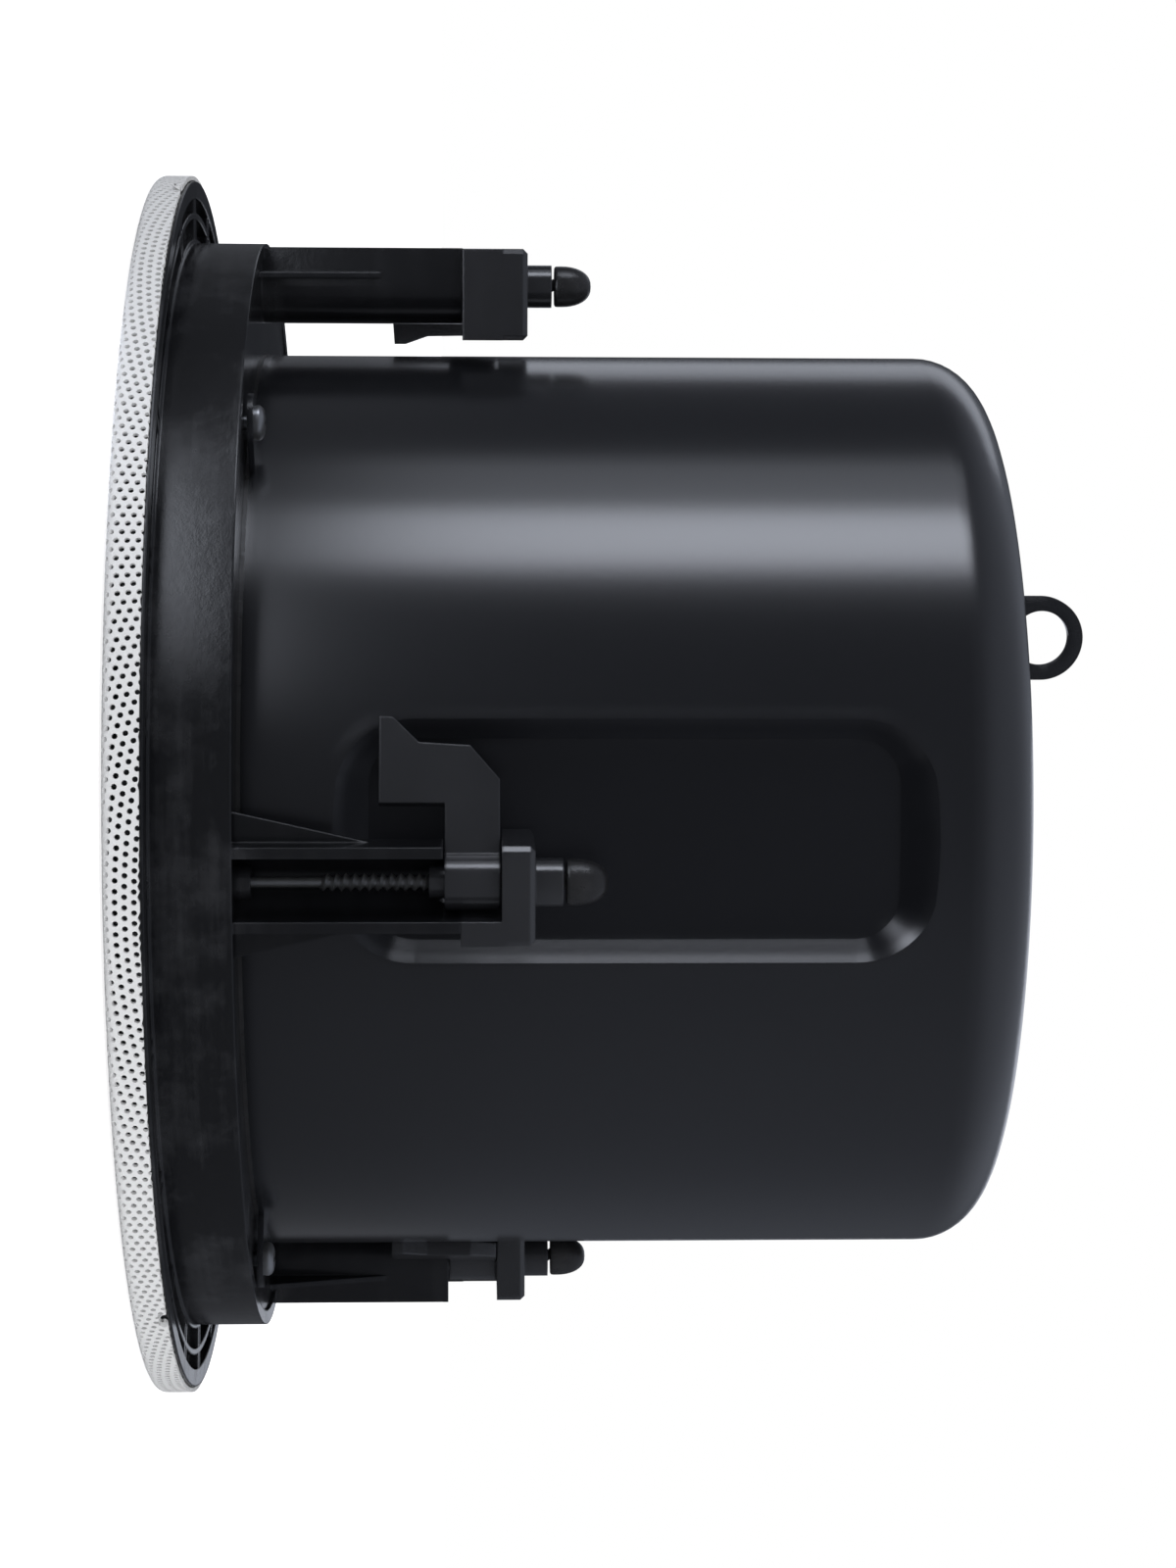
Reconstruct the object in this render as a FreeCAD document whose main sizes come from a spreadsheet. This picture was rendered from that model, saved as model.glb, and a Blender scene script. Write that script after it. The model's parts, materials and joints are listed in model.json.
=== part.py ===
"""Ceiling loudspeaker with a drawn steel back can and four swing-out clamps.

The loudspeaker stands on its grille. The axis of the loudspeaker is +Z, the middle of the grille's
face is the origin, and the four clamps stand on the X and Y axes. All lengths are in millimetres.
"""
import FreeCAD
import Part
import Sketcher
import math
import os

# Driving dimensions. Heights are measured from the grille's face along the axis.
DIMENSIONS = {
    # Grille: a perforated steel dish whose rim wraps the edge of the bezel.
    "grille_depth": 7.0,
    "grille_sheet": 0.9,
    "grille_fold": 1.6,
    "grille_fit": 0.3,
    "notch_width": 3.0,
    "notch_depth": 1.6,
    "notches": 3,
    "notch_turn": 17.4,
    # Bezel: flange with a waffle back, collar, ledge for the can and baffle for the woofer.
    "bezel_front": 3.0,
    "flange_back": 7.6,
    "flange_width": 13.3,
    "flange_lip": 3.6,
    "flange_web": 2.0,
    "ring_rib_gap": 5.9,
    "rib_thickness": 1.2,
    "rib_height": 2.2,
    "rib_pair_gap": 3.4,
    "rib_pairs": 24,
    "collar_gap": 9.0,
    "collar_wall": 3.0,
    "collar_step": 0.8,
    "collar_back": 22.7,
    "ledge_drop": 0.7,
    "ledge_thickness": 2.5,
    "hub_inset": 0.9,
    "hub_wall": 4.0,
    "baffle_thickness": 3.0,
    "woofer_seat_depth": 3.0,
    "woofer_seat_width": 7.0,
    # Clamp towers, moulded with the bezel: half tubes open to the outside.
    "clamps": 4,
    "clamp_gap": 8.6,
    "channel_width": 12.2,
    "tower_wall": 2.2,
    "tower_reach": 8.3,
    "tower_height": 43.8,
    "arm_wall_drop": 3.4,
    "arm_wall_start": 3.0,
    "gusset_reach": 6.0,
    "gusset_height": 26.4,
    "gusset_thickness": 1.2,
    "gusset_offset": 2.4,
    "boss_radius": 3.4,
    "boss_height": 3.8,
    # Tower caps: brackets that close the towers and carry the far ends of the screws.
    "cap_rise": 7.8,
    "cap_thickness": 6.4,
    "cap_arm_side": 8.4,
    "cap_far_side": 10.9,
    "cap_outer": 8.2,
    "cap_inner": 11.5,
    "cap_band": 4.8,
    "cap_chamfer": 1.0,
    "peg_radius": 4.65,
    "peg_length": 5.4,
    # Clamp screws and their push-on tips.
    "head_radius": 3.6,
    "head_height": 2.6,
    "shank_radius": 1.0,
    "thread_radius": 1.72,
    "plain_shank": 17.4,
    "screw_fit": 0.25,
    "head_face": 2.5,
    "head_bevel": 1.0,
    "tip_gap": 0.6,
    "tip_radius": 4.45,
    "tip_length": 8.1,
    "tip_grip": 5.0,
    "tip_shoulder": 4.0,
    "tip_curve": 6.2,
    "tip_curve_radius": 3.7,
    "tip_nose": 1.9,
    # Small screws and rivets: how much narrower a shank is than its hole, and the shape of a pan head.
    "pilot_fit": 0.05,
    "pan_wall": 0.33,
    "pan_crown": 0.75,
    # Clamp dogs: a barrel on the screw with a flat hooked arm, folded inwards at rest.
    "dog_fit": 0.3,
    "barrel_radius": 5.4,
    "dog_collar_radius": 3.1,
    "dog_collar_height": 3.0,
    "arm_thickness": 3.2,
    "arm_fold": 22.0,
    "arm_reach": 32.3,
    "hook_start": 15.2,
    "hook_drop": 12.4,
    "hook_tip": 2.6,
    "hook_slope": 5.1,
    "arm_shoulder": 26.6,
    "arm_shoulder_drop": 5.7,
    "arm_bevel": 6.7,
    # Back can: deep-drawn steel, set a little to one side of the bezel's axis.
    "can_radius": 99.5,
    "can_wall": 1.2,
    "can_back": 180.5,
    "can_corner": 14.0,
    "can_lip": 0.2,
    "can_offset": 3.4,
    "can_seal": 0.8,
    "ear_reach": 8.0,
    "ear_width": 12.0,
    "ears": 4,
    "ear_angle": 35.0,
    "pocket_depth": 7.4,
    "pocket_slant": 43.0,
    "pocket_width": 40.0,
    "pocket_foot": 24.8,
    "pocket_shoulder": 27.5,
    "pocket_corner": 9.0,
    "pocket_turn": 5.0,
    "can_screw_radius": 3.6,
    "can_screw_head": 2.2,
    "can_screw_shank": 1.6,
    "can_screw_length": 9.0,
    # Safety eye on the back of the can, for the fall-arrest cable. Its place is a share of the can's radius.
    "eye_across": 0.397,
    "eye_forward": 0.4824,
    "eye_radius": 8.8,
    "eye_hole": 5.8,
    "eye_rise": 7.2,
    "eye_thickness": 2.2,
    "eye_foot_length": 34.0,
    "eye_foot_width": 11.0,
    "eye_foot_thickness": 1.2,
    "rivet_radius": 2.2,
    "rivet_height": 1.1,
    "rivet_spacing": 13.0,
    # Terminal cover on the back of the can, with a cable knock-out and a lifting tab.
    "cover_start": 2.4,
    "cover_forward": 30.0,
    "cover_length": 46.0,
    "cover_width": 54.0,
    "cover_thickness": 1.2,
    "cover_corner": 6.0,
    "cover_tab_width": 9.0,
    "cover_tab_height": 2.4,
    "knockout_radius": 11.0,
    "knockout_groove": 0.9,
    "cover_screw_inset": 6.5,
    "cover_screw_radius": 2.9,
    "cover_screw_head": 1.6,
    "cover_screw_length": 4.8,
    "terminal_length": 30.0,
    "terminal_width": 12.0,
    "terminal_height": 14.0,
    "terminal_gap": 3.0,
    "terminals": 4,
    "terminal_well": 2.5,
    # Woofer, front to back.
    "basket_sheet": 1.6,
    "basket_fit": 0.4,
    "basket_flange": 7.4,
    "basket_lip": 2.0,
    "basket_waist": 50.0,
    "basket_depth": 46.0,
    "basket_cup": 14.0,
    "basket_windows": 6,
    "basket_window_width": 26.0,
    "basket_window_taper": 0.62,
    "basket_window_foot": 6.4,
    "basket_window_head": 3.2,
    "plate_radius": 42.0,
    "plate_thickness": 5.0,
    "gap_radius": 21.0,
    "magnet_radius": 48.0,
    "magnet_thickness": 16.0,
    "magnet_bore": 24.0,
    "yoke_thickness": 6.0,
    "pole_radius": 18.8,
    "coil_radius": 20.0,
    "coil_wall": 0.5,
    "coil_overhung": 4.0,
    "cone_depth": 24.0,
    "surround_width": 9.4,
    "cone_front": 9.0,
    "cone_sheet": 0.9,
    "cone_fit": 0.3,
    "surround_rise": 1.8,
    "surround_edge": 2.8,
    "surround_sheet": 0.9,
    "surround_crest": 1.35,
    "spider_sheet": 0.7,
    "spider_wave": 1.6,
    "spider_waves": 6,
    "spider_rise": 1.8,
    "spider_cup": 5.4,
    "woofer_screw_inset": 3.6,
    "woofer_screw_angle": 45.0,
    "woofer_screw_radius": 2.6,
    "woofer_screw_head": 1.0,
    "woofer_screw_face": 1.8,
    "woofer_screw_shank": 1.3,
    # Tweeter on a post through the woofer's pole.
    "post_radius": 5.0,
    "post_fit": 0.25,
    "post_nut_radius": 8.5,
    "post_nut_height": 3.0,
    "tweeter_radius": 17.0,
    "tweeter_front": 8.0,
    "tweeter_depth": 14.0,
    "dome_radius": 12.5,
    "dome_rise": 4.0,
    "dome_sheet": 0.6,
    # Electrics inside the can and the tap selector on the baffle.
    "core_length": 52.0,
    "core_width": 44.0,
    "core_height": 18.0,
    "coil_box": 30.0,
    "coil_overhang": 8.0,
    "transformer_gap": 12.0,
    "board_length": 62.0,
    "board_width": 40.0,
    "board_thickness": 1.6,
    "board_rise": 8.0,
    "standoff_radius": 3.0,
    "standoff_inset": 4.8,
    "choke_radius": 10.0,
    "choke_place": 15.5,
    "capacitor_radius": 5.0,
    "capacitor_place": 5.2,
    "capacitor_spacing": 20.0,
    "resistor_radius": 6.6,
    "resistor_place": 19.4,
    "board_parts_height": 11.2,
    "board_across": 18.6,
    "selector_gap": 0.35,
    "selector_angle": 45.0,
    "selector_body_radius": 3.6,
    "selector_body_depth": 12.0,
    "knob_radius": 4.8,
    "knob_height": 1.4,
    "knob_stem_radius": 1.5,
    "knob_fit": 0.25,
    "knob_stem_reach": 3.0,
    "slot_width": 1.2,
    "slot_depth": 0.7,
}

doc = FreeCAD.newDocument("ceiling_loudspeaker")
sheet = doc.addObject("Spreadsheet::Sheet", "sizes")
for row, (name, number) in enumerate(DIMENSIONS.items(), start=1):
    sheet.set(f"A{row}", name)
    sheet.set(f"B{row}", f"{number:g}")
    sheet.setAlias(f"B{row}", name)
doc.recompute()


class Size:
    """A number that keeps the sheet formula it comes from, so that features can be bound to it."""

    def __init__(self, formula, value):
        self.formula = formula
        self.value = value

    def joined(self, sign, other, value):
        return Size(f"({self.formula} {sign} {other.formula})", value)

    def __add__(self, other):
        other = as_size(other)
        return self.joined("+", other, self.value + other.value)

    def __sub__(self, other):
        other = as_size(other)
        return self.joined("-", other, self.value - other.value)

    def __mul__(self, other):
        other = as_size(other)
        return self.joined("*", other, self.value * other.value)

    def __truediv__(self, other):
        other = as_size(other)
        return self.joined("/", other, self.value / other.value)

    def __radd__(self, other):
        return as_size(other) + self

    def __rsub__(self, other):
        return as_size(other) - self

    def __rmul__(self, other):
        return as_size(other) * self

    def __rtruediv__(self, other):
        return as_size(other) / self

    def __neg__(self):
        return Size(f"(0 - {self.formula})", -self.value)


def as_size(number):
    return number if isinstance(number, Size) else Size(f"({number:g})", float(number))


def sine(angle):
    return Size(f"sin({angle.formula})", math.sin(math.radians(angle.value)))


def cosine(angle):
    return Size(f"cos({angle.formula})", math.cos(math.radians(angle.value)))


class Sheet:
    """The driving dimensions, read from the spreadsheet by name."""

    def __getattr__(self, name):
        return Size(f"sizes.{name}", float(sheet.get(name)))


S = Sheet()
ZERO = as_size(0.0)

# Radii that several pieces share, outwards from the can to the grille's rim.
CLAMP_CIRCLE = S.can_radius + S.can_offset + S.clamp_gap
COLLAR_RADIUS = CLAMP_CIRCLE + S.collar_gap
FLANGE_EDGE = COLLAR_RADIUS + S.flange_width
GRILLE_RADIUS = FLANGE_EDGE + S.grille_fit + S.grille_sheet
EAR_CIRCLE = S.can_radius + S.ear_reach
SCREW_HOLE = S.thread_radius + S.screw_fit
TOWER_HALF = S.channel_width / 2 + S.tower_wall
# Inwards from the can to the woofer. The tap selector stands between the hub and the woofer's seat.
HUB_RADIUS = S.can_radius - S.hub_inset
SELECTOR_CIRCLE = HUB_RADIUS - S.hub_wall - S.selector_gap - S.selector_body_radius
SEAT_RADIUS = SELECTOR_CIRCLE - S.selector_body_radius - S.selector_gap - S.baffle_thickness
WOOFER_OPENING = SEAT_RADIUS - S.woofer_seat_width
BASKET_RIM = SEAT_RADIUS - S.basket_fit
BASKET_MOUTH = BASKET_RIM - S.basket_flange
BASKET_INSIDE = BASKET_MOUTH - S.basket_lip
SURROUND_LIP = BASKET_INSIDE + S.surround_edge
CONE_MOUTH = BASKET_INSIDE - S.surround_width
WOOFER_SCREW_CIRCLE = BASKET_RIM - S.woofer_screw_inset
# Heights: the ledge and the clamps.
LEDGE = S.collar_back - S.ledge_drop
TOWER_TOP = LEDGE + S.tower_height
ARM_WALL_TOP = TOWER_TOP - S.arm_wall_drop
GUSSET_TOP = LEDGE + S.gusset_height
CAP_BOTTOM = TOWER_TOP + S.cap_rise
CAP_TOP = CAP_BOTTOM + S.cap_thickness
PEG_TOP = CAP_TOP + S.peg_length
TIP_BOTTOM = PEG_TOP + S.tip_gap
THREAD_START = LEDGE + S.plain_shank
HOOK_BOTTOM = ARM_WALL_TOP - S.hook_drop
# Heights: the can.
CAN_BOTTOM = LEDGE + S.can_seal
CAN_INSIDE = S.can_back - S.can_wall
POCKET_BOTTOM = CAN_BOTTOM + S.pocket_foot
POCKET_TOP = S.can_back - S.pocket_shoulder
# Heights: the woofer, front to back.
WOOFER_SEAT = S.bezel_front + S.woofer_seat_depth
BAFFLE_BACK = WOOFER_SEAT + S.baffle_thickness
RIM_FRONT = WOOFER_SEAT - S.basket_sheet
BASKET_FLOOR = WOOFER_SEAT + S.basket_depth
BASKET_SHOULDER = BASKET_FLOOR - S.basket_cup
PLATE_BACK = BASKET_FLOOR + S.plate_thickness
MAGNET_BACK = PLATE_BACK + S.magnet_thickness
YOKE_BACK = MAGNET_BACK + S.yoke_thickness
COIL_FRONT = S.cone_front + S.cone_depth
COIL_BACK = PLATE_BACK + S.coil_overhung
SPIDER_FRONT = BASKET_SHOULDER + S.spider_rise
# Places on the can's back.
COVER_X = S.cover_start + S.cover_length / 2
COVER_Y = -S.cover_forward
EYE_X = -(S.can_radius * S.eye_across)
EYE_Y = -(S.can_radius * S.eye_forward)
# How far a cut starts outside the face that it cuts, and how deep a pad is sunk in what it joins.
RUN_OUT = as_size(1.0)


def bind(item, path, size):
    """Tie one property of an object to the sheet."""
    item.setExpression(path, as_size(size).formula)


def new_body(label):
    body = doc.addObject("PartDesign::Body", label)
    body.Label = label
    return body


def origin_part(body, role):
    return next(item for item in body.Origin.OriginFeatures if item.Role == role)


def hold(sketch, element, point, axis, size):
    """Give the place of one sketch point along one axis, measured from the sketch's origin."""
    size = as_size(size)
    axis_line = {"DistanceX": -2, "DistanceY": -1}[axis]
    if abs(size.value) < 1e-9:
        sketch.addConstraint(Sketcher.Constraint("PointOnObject", element, point, axis_line))
        return
    ends = (-1, 1, element, point)
    if size.value < 0:
        ends = (element, point, -1, 1)
        size = -size
    index = sketch.addConstraint(Sketcher.Constraint(axis, *ends, size.value))
    bind(sketch, f"Constraints[{index}]", size)


def arc_between(start, end, middle, leftwards):
    """An arc round a middle point. It runs counter-clockwise, as sketches keep them."""
    first, last = (start, end) if leftwards else (end, start)
    radius = math.dist(start, middle)
    begin = math.atan2(first[1] - middle[1], first[0] - middle[0])
    finish = math.atan2(last[1] - middle[1], last[0] - middle[0])
    if finish <= begin:
        finish += 2 * math.pi
    circle = Part.Circle(FreeCAD.Vector(*middle, 0), FreeCAD.Vector(0, 0, 1), radius)
    return Part.ArcOfCircle(circle, begin, finish)


def add_loop(sketch, corners):
    """A closed outline. A corner is x, y, and where an arc leaves it, the arc's middle and its sense."""
    corners = [tuple(as_size(v) if i < 4 else v for i, v in enumerate(c)) for c in corners]
    spots = [(c[0].value, c[1].value) for c in corners]
    starts, ends = [], []
    for i, corner in enumerate(corners):
        begin, finish = spots[i], spots[(i + 1) % len(spots)]
        if len(corner) == 2:
            line = Part.LineSegment(FreeCAD.Vector(*begin, 0), FreeCAD.Vector(*finish, 0))
            element = sketch.addGeometry(line)
            starts.append((element, 1))
            ends.append((element, 2))
            continue
        middle = (corner[2].value, corner[3].value)
        leftwards = corner[4]
        element = sketch.addGeometry(arc_between(begin, finish, middle, leftwards))
        starts.append((element, 1 if leftwards else 2))
        ends.append((element, 2 if leftwards else 1))
    for i, start in enumerate(starts):
        sketch.addConstraint(Sketcher.Constraint("Coincident", *ends[i - 1], *start))
    for i, corner in enumerate(corners):
        before = corners[i - 1]
        axes = ["DistanceX", "DistanceY"]
        if len(before) > 2:
            across = abs(spots[i][0] - before[2].value)
            along = abs(spots[i][1] - before[3].value)
            axes = ["DistanceX"] if along > across else ["DistanceY"]
        for axis in axes:
            hold(sketch, *starts[i], axis, corner[0] if axis == "DistanceX" else corner[1])
        if len(corner) > 2:
            hold(sketch, starts[i][0], 3, "DistanceX", corner[2])
            hold(sketch, starts[i][0], 3, "DistanceY", corner[3])


def add_circle(sketch, x, y, radius):
    x, y, radius = as_size(x), as_size(y), as_size(radius)
    circle = Part.Circle(FreeCAD.Vector(x.value, y.value, 0), FreeCAD.Vector(0, 0, 1), radius.value)
    element = sketch.addGeometry(circle)
    hold(sketch, element, 3, "DistanceX", x)
    hold(sketch, element, 3, "DistanceY", y)
    index = sketch.addConstraint(Sketcher.Constraint("Radius", element, radius.value))
    bind(sketch, f"Constraints[{index}]", radius)


def draw(body, name, plane, loops=(), circles=(), lift=None):
    """A sketch on one of the body's own planes, lifted along the plane's normal."""
    sketch = body.newObject("Sketcher::SketchObject", f"{body.Name}_{name}")
    sketch.AttachmentSupport = (origin_part(body, plane), [""])
    sketch.MapMode = "FlatFace"
    if lift is not None:
        bind(sketch, "AttachmentOffset.Base.z", lift)
    for corners in loops:
        add_loop(sketch, corners)
    for x, y, radius in circles:
        add_circle(sketch, x, y, radius)
    return sketch


def swing(sketch, turn, distance):
    """Turn an XZ sketch about the axis, from +Y towards +X, and set it off from the axis."""
    sketch.AttachmentOffset = FreeCAD.Placement(
        FreeCAD.Vector(0, 0, 0), FreeCAD.Rotation(FreeCAD.Vector(0, 1, 0), -turn.value))
    bind(sketch, "AttachmentOffset.Base.x", distance * sine(turn))
    bind(sketch, "AttachmentOffset.Base.z", -(distance * cosine(turn)))
    bind(sketch, "AttachmentOffset.Rotation.Angle", -turn)


def box(left, bottom, right, top):
    """The corners of a rectangle."""
    return [(left, bottom), (right, bottom), (right, top), (left, top)]


def round_box(left, bottom, right, top, corner):
    """The corners of a rectangle with rounded corners."""
    return [
        (left + corner, bottom), (right - corner, bottom, right - corner, bottom + corner, True),
        (right, bottom + corner), (right, top - corner, right - corner, top - corner, True),
        (right - corner, top), (left + corner, top, left + corner, top - corner, True),
        (left, top - corner), (left, bottom + corner, left + corner, bottom + corner, True),
    ]


def revolve(body, sketch):
    feature = body.newObject("PartDesign::Revolution", f"{sketch.Name}_turned")
    feature.Profile = sketch
    feature.ReferenceAxis = (sketch, ["V_Axis"])
    feature.Angle = 360
    return feature


def pad(body, sketch, length, both_ways=False, backwards=False):
    feature = body.newObject("PartDesign::Pad", f"{sketch.Name}_raised")
    feature.Profile = sketch
    feature.SideType = "Symmetric" if both_ways else "One side"
    feature.Reversed = backwards
    bind(feature, "Length", length)
    return feature


def pocket(body, sketch, length, backwards=False):
    feature = body.newObject("PartDesign::Pocket", f"{sketch.Name}_cut")
    feature.Profile = sketch
    feature.Reversed = backwards
    bind(feature, "Length", length)
    return feature


def repeat_round(body, features, count):
    """Copy features round the body's own Z axis."""
    pattern = body.newObject("PartDesign::PolarPattern", f"{features[0].Name}_round")
    pattern.Originals = features
    pattern.Axis = (origin_part(body, "Z_Axis"), [""])
    pattern.Angle = 360
    bind(pattern, "Occurrences", count)
    body.Tip = pattern
    return pattern


def soften(body, length, edges, kind="Chamfer"):
    """Chamfer or fillet the edges of the last feature that a test picks out."""
    doc.recompute()
    base = body.Tip
    names = [f"Edge{i}" for i, edge in enumerate(base.Shape.Edges, start=1) if edges(edge)]
    feature = body.newObject(f"PartDesign::{kind}", f"{base.Name}_softened")
    feature.Base = (base, names)
    bind(feature, "Size" if kind == "Chamfer" else "Radius", length)
    body.Tip = feature
    return feature


def turned_part(label, *loops):
    """A piece made by turning one or more outlines round the axis."""
    body = new_body(label)
    for number, corners in enumerate(loops, start=1):
        revolve(body, draw(body, f"outline_{number}", "XZ_Plane", [corners]))
    return body


def place(item, x, y, z=ZERO, turn=ZERO):
    """Set a piece at a spot, turned about Z."""
    item.Placement = FreeCAD.Placement(
        FreeCAD.Vector(0, 0, 0), FreeCAD.Rotation(FreeCAD.Vector(0, 0, 1), turn.value))
    for axis, size in (("x", x), ("y", y), ("z", z)):
        bind(item, f"Placement.Base.{axis}", size)
    bind(item, "Placement.Rotation.Angle", turn)


def at_clamp(item, number, fold=ZERO):
    """Set a piece on a clamp screw's axis, with its local +Y outwards and its +X on the arm's side."""
    turn = 180 + number * (360 / S.clamps)
    place(item, -(CLAMP_CIRCLE * sine(turn)), CLAMP_CIRCLE * cosine(turn), ZERO, turn - fold)


def make_grille():
    radius, sheet_gauge, fold = GRILLE_RADIUS, S.grille_sheet, S.grille_fold
    body = turned_part("grille", [
        (ZERO, ZERO), (radius - fold, ZERO, radius - fold, fold, True),
        (radius, fold), (radius, S.grille_depth), (radius - sheet_gauge, S.grille_depth),
        (radius - sheet_gauge, fold, radius - fold, fold, False),
        (radius - fold, sheet_gauge), (ZERO, sheet_gauge),
    ])
    notch = draw(body, "notch", "XZ_Plane", [box(
        -S.notch_width / 2, S.grille_depth - S.notch_depth, S.notch_width / 2, S.grille_depth + RUN_OUT)])
    swing(notch, S.notch_turn, radius - 2 * sheet_gauge)
    cut = pocket(body, notch, 3 * sheet_gauge)
    repeat_round(body, [cut], S.notches)
    return body


def bezel_outline():
    web = S.bezel_front + S.flange_web
    edge = FLANGE_EDGE
    lip = edge - S.flange_lip
    rib_in = COLLAR_RADIUS + S.ring_rib_gap - S.rib_thickness / 2
    rib_out = rib_in + S.rib_thickness
    rib_top = web + S.rib_height
    collar_in = COLLAR_RADIUS - S.collar_wall
    hub_in = HUB_RADIUS - S.hub_wall
    seat_step = SEAT_RADIUS + S.baffle_thickness
    return [
        (WOOFER_OPENING, WOOFER_SEAT), (SEAT_RADIUS, WOOFER_SEAT),
        (SEAT_RADIUS, S.bezel_front), (HUB_RADIUS, S.bezel_front),
        (HUB_RADIUS, LEDGE - S.ledge_thickness), (collar_in, LEDGE - S.ledge_thickness),
        (collar_in, S.bezel_front), (edge, S.bezel_front), (edge, S.flange_back),
        (lip, S.flange_back), (lip, web), (rib_out, web), (rib_out, rib_top), (rib_in, rib_top),
        (rib_in, web), (COLLAR_RADIUS + S.collar_step, web), (COLLAR_RADIUS + S.collar_step, rib_top),
        (COLLAR_RADIUS, rib_top), (COLLAR_RADIUS, S.collar_back),
        (collar_in, S.collar_back), (collar_in, LEDGE), (hub_in, LEDGE),
        (hub_in, S.bezel_front + S.baffle_thickness), (seat_step, S.bezel_front + S.baffle_thickness),
        (seat_step, BAFFLE_BACK), (WOOFER_OPENING, BAFFLE_BACK),
    ]


def add_towers(body):
    """The clamp towers: half tubes with side gussets and a screw boss, drawn at the +Y clamp."""
    axis, inner, outer = CLAMP_CIRCLE, S.channel_width / 2, TOWER_HALF
    front = axis + S.tower_reach
    base = LEDGE - S.ledge_thickness / 2
    tube = draw(body, "tower", "XY_Plane", [[
        (-outer, front), (-outer, axis, ZERO, axis, True), (outer, axis), (outer, front),
        (inner, front), (inner, axis, ZERO, axis, False), (-inner, axis), (-inner, front)]], lift=base)
    gussets = draw(body, "gussets", "XZ_Plane", [
        [(side * inner, LEDGE - RUN_OUT), (side * (outer + S.gusset_reach), LEDGE - RUN_OUT),
         (side * (outer + S.gusset_reach), LEDGE), (side * outer, GUSSET_TOP), (side * inner, GUSSET_TOP)]
        for side in (1, -1)], lift=-(axis + S.gusset_offset))
    boss = draw(body, "boss", "XY_Plane", circles=[(ZERO, axis, S.boss_radius)], lift=base)
    bore = draw(body, "bore", "XY_Plane", circles=[(ZERO, axis, SCREW_HOLE)], lift=LEDGE + S.boss_height)
    lowered = draw(body, "arm_wall", "XY_Plane", [box(
        S.arm_wall_start, axis - outer - RUN_OUT, outer + RUN_OUT, front + RUN_OUT)], lift=TOWER_TOP)
    features = [
        pad(body, tube, TOWER_TOP - base),
        pad(body, gussets, S.gusset_thickness, both_ways=True),
        pad(body, boss, LEDGE + S.boss_height - base),
        pocket(body, bore, S.boss_height + 2 * S.ledge_thickness),
        pocket(body, lowered, TOWER_TOP - ARM_WALL_TOP),
    ]
    repeat_round(body, features, S.clamps)


def can_screw_spots():
    """Where the can's ears are screwed down: two on each side, between the clamps."""
    across = EAR_CIRCLE * cosine(S.ear_angle)
    along = EAR_CIRCLE * sine(S.ear_angle)
    return [(S.can_offset + i * across, j * along) for i in (1, -1) for j in (1, -1)]


def make_bezel():
    body = turned_part("bezel", bezel_outline())
    lip = FLANGE_EDGE - S.flange_lip
    rib_start = S.bezel_front + S.flange_web / 2
    half = S.rib_thickness / 2
    ribs = draw(body, "ribs", "XY_Plane", [
        box(side * S.rib_pair_gap / 2 - half, COLLAR_RADIUS - S.collar_wall / 2,
            side * S.rib_pair_gap / 2 + half, lip + half) for side in (1, -1)], lift=rib_start)
    rib_pad = pad(body, ribs, S.flange_web / 2 + S.rib_height)
    repeat_round(body, [rib_pad], S.rib_pairs)
    add_towers(body)
    under = LEDGE - S.ledge_thickness
    bosses = draw(body, "can_bosses", "XY_Plane", lift=LEDGE - S.ledge_thickness / 2, circles=[
        (x, y, S.can_screw_radius) for x, y in can_screw_spots()])
    pad(body, bosses, S.can_screw_length - S.ledge_thickness / 2, backwards=True)
    pilots = draw(body, "can_pilots", "XY_Plane", lift=LEDGE, circles=[
        (x, y, S.can_screw_shank) for x, y in can_screw_spots()])
    pocket(body, pilots, S.can_screw_length + under)
    holes = draw(body, "woofer_pilots", "XY_Plane", lift=BAFFLE_BACK + RUN_OUT, circles=[
        (x, y, S.woofer_screw_shank) for x, y in woofer_screw_spots()])
    pocket(body, holes, BAFFLE_BACK)
    x, y = selector_spot()
    stem = draw(body, "selector_hole", "XY_Plane", lift=BAFFLE_BACK, circles=[
        (x, y, S.knob_stem_radius + S.knob_fit)])
    pocket(body, stem, BAFFLE_BACK)
    return body


def can_form(label, inset, bottom):
    """The can's outer form, or with an inset of the wall, the space inside it."""
    radius = S.can_radius - inset
    back = S.can_back - inset
    corner = S.can_corner - inset
    body = turned_part(label, [
        (ZERO, bottom), (radius, bottom), (radius, back - corner, radius - corner, back - corner, True),
        (radius - corner, back), (ZERO, back)])
    # Presses behind three clamps. The side that the can leans away from needs none.
    half = S.pocket_width / 2 + inset
    for name, quarter in (("rear", 0), ("side", 90), ("front", 180)):
        press = draw(body, f"{name}_press", "XZ_Plane", [round_box(
            -half, POCKET_BOTTOM - inset, half, POCKET_TOP + inset, S.pocket_corner)])
        swing(press, S.pocket_turn + quarter, S.can_radius - S.pocket_depth - inset)
        dent = pocket(body, press, 2 * S.pocket_depth)
        bind(dent, "TaperAngle", S.pocket_slant)
    return body


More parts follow.
